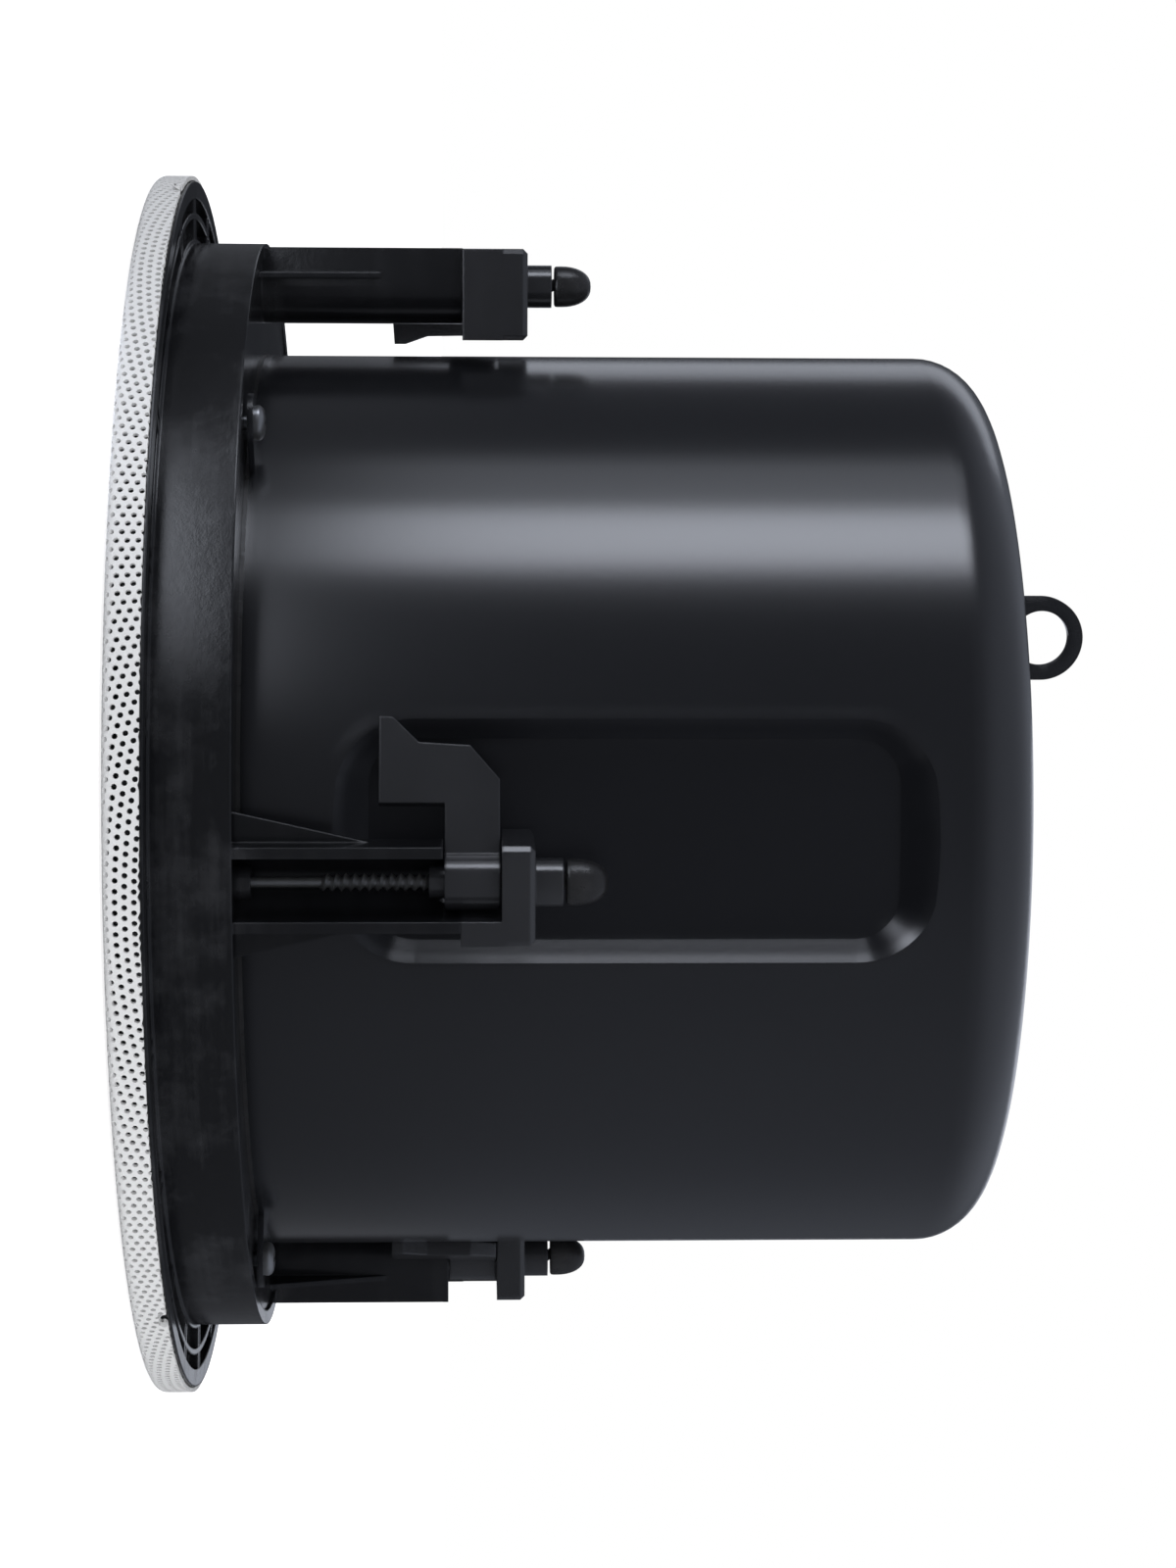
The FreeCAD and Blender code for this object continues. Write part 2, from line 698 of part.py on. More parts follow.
def make_can():
    outside = can_form("can_outside", ZERO, CAN_BOTTOM)
    inside = can_form("can_inside", S.can_wall, CAN_BOTTOM - S.can_seal)
    rim = new_body("can_rim")
    pad(rim, draw(rim, "lip", "XY_Plane", lift=CAN_BOTTOM, circles=[
        (ZERO, ZERO, S.can_radius + S.can_lip)]), S.can_wall)
    half = S.ear_width / 2
    for number, direction in enumerate((S.ear_angle, 180 - S.ear_angle)):
        ear = draw(rim, f"ear_{number}", "XY_Plane", [[
            (S.can_radius - S.can_corner, -half), (EAR_CIRCLE, -half, EAR_CIRCLE, ZERO, True),
            (EAR_CIRCLE, half), (S.can_radius - S.can_corner, half)]], lift=CAN_BOTTOM)
        ear.AttachmentOffset = FreeCAD.Placement(
            FreeCAD.Vector(0, 0, 0), FreeCAD.Rotation(FreeCAD.Vector(0, 0, 1), direction.value))
        bind(ear, "AttachmentOffset.Rotation.Angle", direction)
        repeat_round(rim, [pad(rim, ear, S.can_wall)], S.ears / 2)
    holes = draw(rim, "ear_holes", "XY_Plane", lift=CAN_BOTTOM + S.can_wall, circles=[
        (x - S.can_offset, y, S.can_screw_shank + S.screw_fit) for x, y in can_screw_spots()])
    pocket(rim, holes, 2 * S.can_wall)
    openings = new_body("can_openings")
    long = S.terminal_length / 2 + S.terminal_gap
    wide = S.terminal_width / 2 + S.terminal_gap
    middle = COVER_X - S.can_offset
    window = draw(openings, "window", "XY_Plane", [box(
        middle - long, COVER_Y - wide, middle + long, COVER_Y + wide)],
        circles=[(x - S.can_offset, y, S.rivet_radius / 2) for x, y in rivet_spots() + cover_screw_spots()],
        lift=S.can_back + RUN_OUT)
    pad(openings, window, S.can_wall + 2 * RUN_OUT, backwards=True)
    shell = doc.addObject("Part::MultiFuse", "can_shell")
    shell.Shapes = [outside, rim]
    hollow = doc.addObject("Part::Cut", "can_hollow")
    hollow.Base = shell
    hollow.Tool = inside
    can = doc.addObject("Part::Cut", "back_can")
    can.Base = hollow
    can.Tool = openings
    place(can, S.can_offset, ZERO)
    return can


def make_can_seal():
    body = turned_part("can_gasket", box(
        S.can_radius - S.can_wall, LEDGE, S.can_radius + S.can_lip, LEDGE + S.can_seal))
    place(body, S.can_offset, ZERO)
    return body


def pan_head_screw(label, head_radius, head_height, shank_radius, length, top):
    """A turned screw that points down, with its head's seat at the given height."""
    return turned_part(label, [
        (ZERO, top - length), (shank_radius, top - length), (shank_radius, top), (head_radius, top),
        (head_radius, top + S.pan_wall * head_height),
        (S.pan_crown * head_radius, top + head_height), (ZERO, top + head_height)])


def group(label, pattern, spots):
    """Copies of one small piece, kept as separate solids of one node."""
    copies = []
    for number, (x, y) in enumerate(spots, start=1):
        copy = doc.addObject("Part::Feature", f"{label}_{number}")
        copy.Shape = pattern.Shape
        place(copy, x, y)
        copies.append(copy)
    compound = doc.addObject("Part::Compound", label)
    compound.Links = copies
    return compound


def make_can_screws():
    screw = pan_head_screw("can_screw", S.can_screw_radius, S.can_screw_head,
                           S.can_screw_shank - S.pilot_fit, S.can_screw_length, CAN_BOTTOM + S.can_wall)
    doc.recompute()
    return group("can_screws", screw, can_screw_spots())


def make_tower_cap(number):
    """The bracket on one tower's end: an end plate, a side band on the wall and a bearing peg."""
    body = new_body(f"tower_cap_{number + 1}")
    far, near = S.cap_far_side, S.cap_arm_side
    plate = draw(body, "plate", "XY_Plane", [box(-far, -S.cap_inner, near, S.cap_outer)], lift=CAP_BOTTOM)
    pad(body, plate, CAP_TOP - CAP_BOTTOM)
    soften(body, S.cap_chamfer, lambda edge: is_upright(edge) or is_level(edge, CAP_TOP.value))
    band = draw(body, "band", "XY_Plane", [box(
        -far, -S.cap_inner, -far + S.cap_band, S.cap_outer)], lift=TOWER_TOP)
    pad(body, band, CAP_BOTTOM + S.cap_chamfer - TOWER_TOP)
    root = CAP_BOTTOM + S.cap_chamfer
    peg = draw(body, "peg", "XY_Plane", circles=[(ZERO, ZERO, S.peg_radius)], lift=root)
    pad(body, peg, PEG_TOP - root)
    bore = draw(body, "bore", "XY_Plane", circles=[(ZERO, ZERO, SCREW_HOLE)], lift=PEG_TOP)
    pocket(body, bore, PEG_TOP - CAP_BOTTOM + RUN_OUT)
    at_clamp(body, number)
    return body


def is_upright(edge):
    """True for a straight edge along Z."""
    ends = [vertex.Point for vertex in edge.Vertexes]
    return len(ends) == 2 and math.hypot(ends[0].x - ends[1].x, ends[0].y - ends[1].y) < 1e-6


def is_level(edge, height):
    """True for an edge that lies all round at one height."""
    return abs(edge.BoundBox.ZMin - height) < 1e-6 and abs(edge.BoundBox.ZMax - height) < 1e-6


def make_clamp_screw(number):
    """A long screw: head under the ledge, thin shank, then the thread's outer size up to its tip."""
    seat = LEDGE - S.ledge_thickness - S.screw_fit
    body = turned_part(f"clamp_screw_{number + 1}", [
        (ZERO, seat - S.head_height), (S.head_face, seat - S.head_height),
        (S.head_radius, seat - S.head_height + S.head_bevel), (S.head_radius, seat), (S.shank_radius, seat),
        (S.shank_radius, THREAD_START), (S.thread_radius, THREAD_START + S.thread_radius / 2),
        (S.thread_radius, TIP_BOTTOM + S.tip_grip), (ZERO, TIP_BOTTOM + S.tip_grip)])
    at_clamp(body, number)
    return body


def make_screw_tip(number):
    """The bullet-shaped cap pushed on the end of a clamp screw."""
    bore = S.thread_radius
    top = TIP_BOTTOM + S.tip_length
    body = turned_part(f"screw_tip_{number + 1}", [
        (bore, TIP_BOTTOM), (S.tip_radius, TIP_BOTTOM), (S.tip_radius, TIP_BOTTOM + S.tip_shoulder),
        (S.tip_curve_radius, TIP_BOTTOM + S.tip_curve), (S.tip_nose, top), (ZERO, top),
        (ZERO, TIP_BOTTOM + S.tip_grip), (bore, TIP_BOTTOM + S.tip_grip)])
    at_clamp(body, number)
    return body


def make_clamp_dog(number):
    """The swinging dog: a barrel and neck on the screw, and a flat arm with a hook that grips the ceiling."""
    body = new_body(f"clamp_dog_{number + 1}")
    bottom, top = ARM_WALL_TOP + S.dog_fit, CAP_BOTTOM - S.dog_fit
    barrel = draw(body, "barrel", "XY_Plane", circles=[(ZERO, ZERO, S.barrel_radius)], lift=bottom)
    pad(body, barrel, top - bottom)
    neck = draw(body, "neck", "XY_Plane", circles=[(ZERO, ZERO, S.dog_collar_radius)], lift=bottom + RUN_OUT)
    pad(body, neck, S.dog_collar_height + RUN_OUT, backwards=True)
    tip_top = HOOK_BOTTOM + S.hook_tip
    arm = draw(body, "arm", "XZ_Plane", [[
        (ZERO, bottom), (S.hook_start, bottom), (S.hook_start, HOOK_BOTTOM), (S.arm_reach, HOOK_BOTTOM),
        (S.arm_reach, tip_top), (S.arm_reach - S.hook_slope, tip_top + S.hook_slope),
        (S.arm_shoulder, top - S.arm_shoulder_drop), (S.arm_shoulder - S.arm_bevel, top), (ZERO, top)]])
    pad(body, arm, S.arm_thickness, both_ways=True)
    bore = draw(body, "bore", "XY_Plane", circles=[(ZERO, ZERO, SCREW_HOLE)], lift=top + RUN_OUT)
    pocket(body, bore, top - bottom + S.dog_collar_height + 2 * RUN_OUT)
    at_clamp(body, number, S.arm_fold)
    return body


def rivet_spots():
    return [(EYE_X + side * S.rivet_spacing, EYE_Y) for side in (1, -1)]


def make_safety_eye():
    """A stamped eye on a foot, riveted to the can's back."""
    body = new_body("safety_eye")
    long, wide = S.eye_foot_length / 2, S.eye_foot_width / 2
    foot = draw(body, "foot", "XY_Plane", [round_box(-long, -wide, long, wide, wide / 3)],
                circles=[(side * S.rivet_spacing, ZERO, S.rivet_radius / 2) for side in (1, -1)],
                lift=S.can_back)
    pad(body, foot, S.eye_foot_thickness)
    middle = S.can_back + S.eye_rise
    ring = draw(body, "ring", "XZ_Plane", [[
        (-S.eye_radius, S.can_back), (S.eye_radius, S.can_back), (S.eye_radius, middle, ZERO, middle, True),
        (-S.eye_radius, middle)]])
    pad(body, ring, S.eye_thickness, both_ways=True)
    hole = draw(body, "hole", "XZ_Plane", circles=[(ZERO, middle, S.eye_hole)], lift=-S.eye_foot_width)
    pocket(body, hole, 2 * S.eye_foot_width, backwards=True)
    place(body, EYE_X, EYE_Y)
    return body


def make_safety_rivets():
    rivet = pan_head_screw("rivet", S.rivet_radius, S.rivet_height, S.rivet_radius / 2 - S.pilot_fit,
                           S.eye_foot_thickness + S.can_wall, S.can_back + S.eye_foot_thickness)
    doc.recompute()
    return group("safety_rivets", rivet, rivet_spots())


def cover_screw_spots():
    """Two opposite corners of the terminal cover."""
    along = S.cover_length / 2 - S.cover_screw_inset
    across = S.cover_width / 2 - S.cover_screw_inset
    return [(COVER_X + side * along, COVER_Y + side * across) for side in (1, -1)]


def make_terminal_cover():
    """The lid over the terminals, with a cable knock-out and a lifting tab at its edge."""
    body = new_body("terminal_cover")
    half, wide = S.cover_length / 2, S.cover_width / 2
    holes = [(x - COVER_X, y - COVER_Y, S.rivet_radius / 2) for x, y in cover_screw_spots()]
    lid = draw(body, "lid", "XY_Plane", [round_box(-half, -wide, half, wide, S.cover_corner)],
               circles=holes, lift=S.can_back)
    pad(body, lid, S.cover_thickness)
    tab = draw(body, "tab", "XZ_Plane", [[
        (-half, S.can_back), (-half + 2 * S.cover_thickness, S.can_back),
        (-half + S.cover_thickness, S.can_back + S.cover_tab_height),
        (-half, S.can_back + S.cover_tab_height)]], lift=wide - S.cover_tab_width)
    pad(body, tab, S.cover_tab_width)
    ring = draw(body, "knockout", "XY_Plane", lift=S.can_back + S.cover_thickness, circles=[
        (ZERO, ZERO, S.knockout_radius), (ZERO, ZERO, S.knockout_radius - S.knockout_groove)])
    pocket(body, ring, S.cover_thickness / 2)
    place(body, COVER_X, COVER_Y)
    return body


def make_terminal_screws():
    screw = pan_head_screw("terminal_screw", S.cover_screw_radius, S.cover_screw_head,
                           S.rivet_radius / 2 - S.pilot_fit, S.cover_screw_length,
                           S.can_back + S.cover_thickness)
    doc.recompute()
    return group("terminal_screws", screw, cover_screw_spots())


def make_terminal_block():
    """A row of four screw terminals that hangs under the cover, in the can's window."""
    body = new_body("terminal_block")
    half, wide = S.terminal_length / 2, S.terminal_width / 2
    block = draw(body, "block", "XY_Plane", [box(-half, -wide, half, wide)], lift=S.can_back)
    pad(body, block, S.terminal_height, backwards=True)
    step = S.terminal_length / S.terminals
    wells = draw(body, "wells", "XY_Plane", lift=S.can_back - S.terminal_height, circles=[
        (step * (i + 0.5) - half, ZERO, S.terminal_well) for i in range(int(S.terminals.value))])
    pocket(body, wells, S.terminal_height / 2, backwards=True)
    place(body, COVER_X, COVER_Y)
    return body


def make_basket():
    """The woofer's pressed steel frame, open between its arms."""
    gauge, waist = S.basket_sheet, S.basket_waist
    body = turned_part("woofer_basket", [
        (BASKET_RIM, RIM_FRONT), (BASKET_RIM, WOOFER_SEAT), (BASKET_MOUTH, WOOFER_SEAT),
        (waist, BASKET_SHOULDER), (waist, BASKET_FLOOR), (S.gap_radius, BASKET_FLOOR),
        (S.gap_radius, BASKET_FLOOR - gauge), (waist - gauge, BASKET_FLOOR - gauge),
        (waist - gauge, BASKET_SHOULDER - gauge / 2), (BASKET_INSIDE, WOOFER_SEAT),
        (BASKET_INSIDE, RIM_FRONT)])
    half = S.basket_window_width / 2
    narrow = half * S.basket_window_taper
    low, high = WOOFER_SEAT + S.basket_window_foot, BASKET_SHOULDER - S.basket_window_head
    window = draw(body, "window", "XZ_Plane", [[(-half, low), (half, low), (narrow, high), (-narrow, high)]])
    cut = pocket(body, window, BASKET_RIM)
    repeat_round(body, [cut], S.basket_windows)
    holes = draw(body, "holes", "XY_Plane", lift=WOOFER_SEAT + RUN_OUT, circles=[
        (x, y, S.woofer_screw_shank) for x, y in woofer_screw_spots()])
    pocket(body, holes, gauge + 2 * RUN_OUT)
    return body


def woofer_screw_spots():
    across = WOOFER_SCREW_CIRCLE * cosine(S.woofer_screw_angle)
    along = WOOFER_SCREW_CIRCLE * sine(S.woofer_screw_angle)
    return [(i * across, j * along) for i in (1, -1) for j in (1, -1)]


def make_woofer():
    """The woofer's frame, magnet system and moving cone."""
    cone_back = COIL_FRONT + S.cone_sheet
    crest = RIM_FRONT - S.surround_rise
    skin = S.surround_sheet
    mouth, lip = CONE_MOUTH, BASKET_INSIDE
    middle = (mouth + lip) / 2
    inner_end = S.cone_front - S.cone_fit
    spider_in = S.coil_radius + S.cone_fit
    wave = (S.basket_waist - S.basket_sheet - spider_in) / S.spider_waves
    step = S.spider_cup / S.spider_waves
    ridge = [(spider_in + wave * i, SPIDER_FRONT + step * i + (S.spider_wave if i % 2 else ZERO))
             for i in range(int(S.spider_waves.value) + 1)]
    return [
        make_basket(),
        turned_part("woofer_top_plate", box(S.gap_radius, BASKET_FLOOR, S.plate_radius, PLATE_BACK)),
        turned_part("woofer_magnet", box(S.magnet_bore, PLATE_BACK, S.magnet_radius, MAGNET_BACK)),
        turned_part("woofer_yoke", [
            (S.post_radius + S.post_fit, BASKET_FLOOR), (S.pole_radius, BASKET_FLOOR),
            (S.pole_radius, MAGNET_BACK), (S.plate_radius, MAGNET_BACK), (S.plate_radius, YOKE_BACK),
            (S.post_radius + S.post_fit, YOKE_BACK)]),
        turned_part("woofer_voice_coil", box(
            S.coil_radius - S.coil_wall, COIL_FRONT, S.coil_radius, COIL_BACK)),
        turned_part("woofer_spider", ridge + [(x, z + S.spider_sheet) for x, z in reversed(ridge)]),
        turned_part("woofer_cone", [
            (S.coil_radius, COIL_FRONT), (mouth, S.cone_front), (mouth, S.cone_front + S.cone_sheet),
            (S.coil_radius, cone_back)]),
        turned_part("woofer_surround", [
            (SURROUND_LIP, RIM_FRONT - skin), (lip, RIM_FRONT - skin), (middle + S.surround_crest, crest),
            (middle - S.surround_crest, crest), (mouth + skin, RIM_FRONT), (mouth, inner_end - skin),
            (mouth - 2 * skin, inner_end - skin), (mouth - 2 * skin, inner_end), (mouth, inner_end),
            (mouth + 2 * skin, RIM_FRONT + skin), (middle - skin, crest + skin),
            (middle + skin, crest + skin), (lip, RIM_FRONT), (SURROUND_LIP, RIM_FRONT)]),
    ]


def make_woofer_screws():
    shank = S.woofer_screw_shank - S.pilot_fit
    screw = turned_part("woofer_screw", [
        (ZERO, RIM_FRONT - S.woofer_screw_head), (S.woofer_screw_face, RIM_FRONT - S.woofer_screw_head),
        (S.woofer_screw_radius, RIM_FRONT), (shank, RIM_FRONT), (shank, BAFFLE_BACK), (ZERO, BAFFLE_BACK)])
    doc.recompute()
    return group("woofer_screws", screw, woofer_screw_spots())


def make_tweeter():
    """The tweeter's post, cup and dome."""
    back = S.tweeter_front + S.tweeter_depth
    wall = S.tweeter_radius - S.dome_radius
    crest = S.tweeter_front - S.dome_rise
    sphere = (S.dome_radius * S.dome_radius + S.dome_rise * S.dome_rise) / (2 * S.dome_rise)
    core = sphere - S.dome_sheet
    return [
        turned_part("tweeter_post", [
            (ZERO, back), (S.post_radius, back), (S.post_radius, YOKE_BACK), (S.post_nut_radius, YOKE_BACK),
            (S.post_nut_radius, YOKE_BACK + S.post_nut_height), (ZERO, YOKE_BACK + S.post_nut_height)]),
        turned_part("tweeter_cup", [
            (ZERO, S.tweeter_front + wall), (S.dome_radius - wall / 2, S.tweeter_front + wall),
            (S.dome_radius - wall / 2, S.tweeter_front), (S.tweeter_radius, S.tweeter_front),
            (S.tweeter_radius, back), (ZERO, back)]),
        turned_part("tweeter_dome", [
            (ZERO, crest, ZERO, crest + sphere, True), (S.dome_radius, S.tweeter_front),
            (S.dome_radius - 2 * S.dome_sheet, S.tweeter_front), (ZERO, crest + sphere - core)]),
    ]


def make_transformer():
    """The line transformer: a laminated core and its winding, on the can's back."""
    body = new_body("line_transformer")
    long, wide = S.core_length / 2, S.core_width / 2
    core = draw(body, "core", "XY_Plane", [box(-long, -wide, long, wide)], lift=CAN_INSIDE)
    pad(body, core, S.core_height, backwards=True)
    coil = S.coil_box / 2
    winding = draw(body, "winding", "XY_Plane", [round_box(
        -coil, -wide - S.coil_overhang, coil, wide + S.coil_overhang, S.coil_overhang / 2)],
        lift=CAN_INSIDE - S.core_height / 4)
    pad(body, winding, S.core_height, backwards=True)
    place(body, -long, -S.transformer_gap - S.coil_overhang - wide)
    return body


def make_crossover():
    """The crossover board on four stand-offs, with its coils and capacitors as plain forms."""
    body = new_body("crossover_board")
    long, wide = S.board_length / 2, S.board_width / 2
    level = CAN_INSIDE - S.board_rise
    board = draw(body, "board", "XY_Plane", [box(-long, -wide, long, wide)], lift=level)
    pad(body, board, S.board_thickness, backwards=True)
    inset = S.standoff_inset
    legs = draw(body, "legs", "XY_Plane", lift=level - S.board_thickness / 2, circles=[
        (i * (long - inset), j * (wide - inset), S.standoff_radius) for i in (1, -1) for j in (1, -1)])
    pad(body, legs, S.board_rise + S.board_thickness / 2)
    parts = draw(body, "parts", "XY_Plane", lift=level - S.board_thickness / 2, circles=[
        (-S.choke_place, ZERO, S.choke_radius), (S.resistor_place, ZERO, S.resistor_radius),
        (S.capacitor_place, S.capacitor_spacing / 2, S.capacitor_radius),
        (S.capacitor_place, S.capacitor_spacing / -2, S.capacitor_radius)])
    pad(body, parts, S.board_parts_height + S.board_thickness / 2, backwards=True)
    place(body, -S.board_across, S.transformer_gap + wide)
    return body


def selector_spot():
    return SELECTOR_CIRCLE * cosine(S.selector_angle), SELECTOR_CIRCLE * sine(S.selector_angle)


def make_selector():
    """The tap selector behind the baffle and its slotted knob under the grille."""
    x, y = selector_spot()
    plate_back = S.bezel_front + S.baffle_thickness
    hole = S.knob_stem_radius + S.knob_fit
    stem_end = plate_back + S.knob_stem_reach
    switch = turned_part("selector_switch", [
        (hole, plate_back), (S.selector_body_radius, plate_back),
        (S.selector_body_radius, plate_back + S.selector_body_depth),
        (ZERO, plate_back + S.selector_body_depth), (ZERO, stem_end + S.knob_fit),
        (hole, stem_end + S.knob_fit)])
    place(switch, x, y)
    top = S.bezel_front - S.knob_fit
    knob = turned_part("selector_knob", [
        (ZERO, top - S.knob_height), (S.knob_radius, top - S.knob_height), (S.knob_radius, top),
        (S.knob_stem_radius, top), (S.knob_stem_radius, stem_end), (ZERO, stem_end)])
    slot = draw(knob, "slot", "XY_Plane", [box(
        -S.knob_radius - RUN_OUT, -S.slot_width / 2, S.knob_radius + RUN_OUT, S.slot_width / 2)],
        lift=top - S.knob_height)
    pocket(knob, slot, S.slot_depth, backwards=True)
    place(knob, x, y)
    return [switch, knob]


def build():
    pieces = [make_grille(), make_bezel(), make_can(), make_can_seal(), make_can_screws()]
    for number in range(int(S.clamps.value)):
        pieces.append(make_tower_cap(number))
        pieces.append(make_clamp_screw(number))
        pieces.append(make_screw_tip(number))
        pieces.append(make_clamp_dog(number))
    pieces += [make_safety_eye(), make_safety_rivets()]
    pieces += [make_terminal_cover(), make_terminal_screws(), make_terminal_block()]
    pieces += make_woofer()
    pieces.append(make_woofer_screws())
    pieces += make_tweeter()
    pieces += [make_transformer(), make_crossover()]
    pieces += make_selector()
    return pieces


def check(pieces):
    """Stop before anything is written if an object failed or a piece has no sound shape."""
    for item in doc.Objects:
        if "Invalid" in item.State or "Error" in item.State:
            raise RuntimeError(f"{item.Label} did not build: {item.State}")
    for piece in pieces:
        if piece.Shape.isNull() or not piece.Shape.isValid():
            raise RuntimeError(f"{piece.Label} has no sound shape")


nodes = build()
doc.recompute()
check(nodes)
os.makedirs("parts", exist_ok=True)
for node in nodes:
    node.Shape.exportStep(f"parts/{node.Label}.step")
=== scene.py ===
"""Looks of a ceiling loudspeaker: perforated grille, threaded clamp screws, small fasteners and finishes.

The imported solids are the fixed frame. The grille, the clamp screws and their tips, the small fasteners and
the woofer's soft rings are replaced by finer pieces of the same size. Every other solid keeps its shape and
gets a finish. Lengths are in metres.
"""
import json
import math

import bmesh
import bpy
from bpy.props import FloatProperty, FloatVectorProperty, IntProperty, PointerProperty
from mathutils import Matrix, Vector


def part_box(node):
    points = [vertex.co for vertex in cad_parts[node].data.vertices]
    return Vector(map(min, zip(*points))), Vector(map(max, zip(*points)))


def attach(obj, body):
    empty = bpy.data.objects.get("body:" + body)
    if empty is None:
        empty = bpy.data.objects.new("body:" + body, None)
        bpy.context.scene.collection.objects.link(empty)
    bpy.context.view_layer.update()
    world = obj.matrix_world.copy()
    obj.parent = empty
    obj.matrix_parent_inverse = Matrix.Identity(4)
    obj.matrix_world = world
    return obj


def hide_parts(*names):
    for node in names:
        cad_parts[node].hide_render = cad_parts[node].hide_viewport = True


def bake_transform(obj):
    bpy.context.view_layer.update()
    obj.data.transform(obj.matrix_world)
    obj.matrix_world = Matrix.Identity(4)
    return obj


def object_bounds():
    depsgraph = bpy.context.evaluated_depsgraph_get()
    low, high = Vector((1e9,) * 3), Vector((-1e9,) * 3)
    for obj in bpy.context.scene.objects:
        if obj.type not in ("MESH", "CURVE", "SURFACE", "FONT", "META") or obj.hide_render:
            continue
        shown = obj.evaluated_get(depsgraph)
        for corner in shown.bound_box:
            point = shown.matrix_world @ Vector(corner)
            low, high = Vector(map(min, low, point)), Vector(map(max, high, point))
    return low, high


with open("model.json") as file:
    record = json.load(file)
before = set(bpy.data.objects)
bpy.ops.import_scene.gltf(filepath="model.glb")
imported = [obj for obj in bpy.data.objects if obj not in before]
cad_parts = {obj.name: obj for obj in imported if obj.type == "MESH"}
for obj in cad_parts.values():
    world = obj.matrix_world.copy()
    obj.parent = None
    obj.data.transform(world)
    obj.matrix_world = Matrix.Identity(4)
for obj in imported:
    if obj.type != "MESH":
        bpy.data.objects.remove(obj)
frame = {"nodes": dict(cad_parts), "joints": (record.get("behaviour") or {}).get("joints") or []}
CAD_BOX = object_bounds()

bl_info = {
    "name": "Ceiling Loudspeaker",
    "version": (1, 0, 0),
    "blender": (4, 5, 0),
    "location": "View3D > Sidebar > Loudspeaker",
    "description": "Dresses the solids of a ceiling loudspeaker with grille, screws, finishes and stage",
    "category": "Object",
}

CLAMPS = (1, 2, 3, 4)
GRILLE_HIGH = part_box("grille")[1]
JOINTS = {joint["name"]: joint for joint in frame["joints"]}
ROUND = 2 * math.pi
QUARTER = math.pi / 2
TINY = 1e-6
WHITE = (1.0, 1.0, 1.0, 1.0)

# Shares of the overall height between which the can's wall is plain, above its foot and below its corner.
WALL_FOOT, WALL_TOP = 0.4, 0.85

# The rolled foot of a screw tip, as shares of its radius and height, and where its nose starts.
TIP_FOOT = ((0.9, 0.0), (0.985, 0.03), (1.0, 0.09))
TIP_NOSE = 0.22

# Heights at which the woofer's soft rings are held by the frame and by the cone.
SURROUND_HELD, SURROUND_FREE = 0.0044, 0.0087
SPIDER_HELD, SPIDER_FREE = 0.0459, 0.0398

# Points of a solid that are nearer to one another than this belong to the same fastener.
FASTENER_SPACE = 0.012
# Each fastener of a group is turned by this much more than the one before it, in radians.
FASTENER_TURN = 0.7

# Lamps: name, place towards the camera, upwards in the picture and along the loudspeaker's axis, width,
# length, power in watts, and whether reflections show it.
LAMPS = (
    ("overhead_strip", 0.42, 0.90, 0.255, 0.30, 0.49, 1.95, True),
    ("overhead_wing", 0.11, 0.99, 0.255, 0.24, 0.49, 0.26, True),
    ("rim_strip", -0.77, 0.64, 0.52, 0.30, 0.95, 0.5, True),
    ("far_strip", -1.0, -0.15, 0.52, 0.40, 0.95, 0.7, True),
    ("front_fill", 1.3, 0.1, 0.7, 1.4, 1.4, 7.0, False),
    ("low_fill", 0.6, -1.2, 0.1, 1.2, 1.2, 11.5, False),
)

# How bright reflections see the room at the sides, behind, above and below, and the floor.
SIDE_LEVEL = 0.06
BACKDROP_LEVEL = 0.03
CEILING_LEVEL = 0.24
GROUND_LEVEL = 0.09
FLOOR_LEVEL = 0.10
ROOM_TINT = (0.9, 0.97, 1.15, 1.0)

# The floor's half width, and how far it lies under the grille's face.
FLOOR_HALF = 6.0
FLOOR_DROP = 0.0006
FLOOR_GREY = (0.8, 0.8, 0.8, 1.0)
FLOOR_GLOW = 0.85

# A bright patch of floor that only reflections see. It gives the collar its sheen. Its angle goes from the
# camera's side towards the top of the picture.
SHEEN_TURN = math.radians(33)
SHEEN_LEVEL = 3.4


def clamp_axis(number):
    """The spot on the floor under one clamp screw's axis."""
    x, y, _ = JOINTS[f"screw_{number}_turn"]["pos_m"]
    return Vector((x, y, 0.0))


class GrilleSettings(bpy.types.PropertyGroup):
    """Sizes of the perforated grille."""

    pitch: FloatProperty(
        name="Pitch", description="Distance between neighbouring holes", default=0.00205, unit="LENGTH")
    hole: FloatProperty(
        name="Hole radius", description="Radius of one hole", default=0.00058, unit="LENGTH")
    sheet: FloatProperty(
        name="Sheet", description="Thickness of the steel sheet", default=0.0009, unit="LENGTH")
    fold: FloatProperty(
        name="Fold", description="Outer radius of the fold between face and rim", default=0.0016,
        unit="LENGTH")
    radius: FloatProperty(
        name="Radius", description="Radius of the rim", default=GRILLE_HIGH.x, unit="LENGTH")
    depth: FloatProperty(
        name="Depth", description="Height of the rim", default=GRILLE_HIGH.z, unit="LENGTH")
    notch_width: FloatProperty(
        name="Notch width", description="Width of a notch in the rim's edge", default=0.003, unit="LENGTH")
    notch_depth: FloatProperty(
        name="Notch depth", description="Depth of a notch in the rim's edge", default=0.0016, unit="LENGTH")
    notch_turn: FloatProperty(
        name="Notch turn", description="Angle of the first notch from the Y axis",
        default=math.radians(17.4), subtype="ANGLE")
    sectors: IntProperty(
        name="Sectors", description="Number of separate meshes that the grille is split into", default=6)


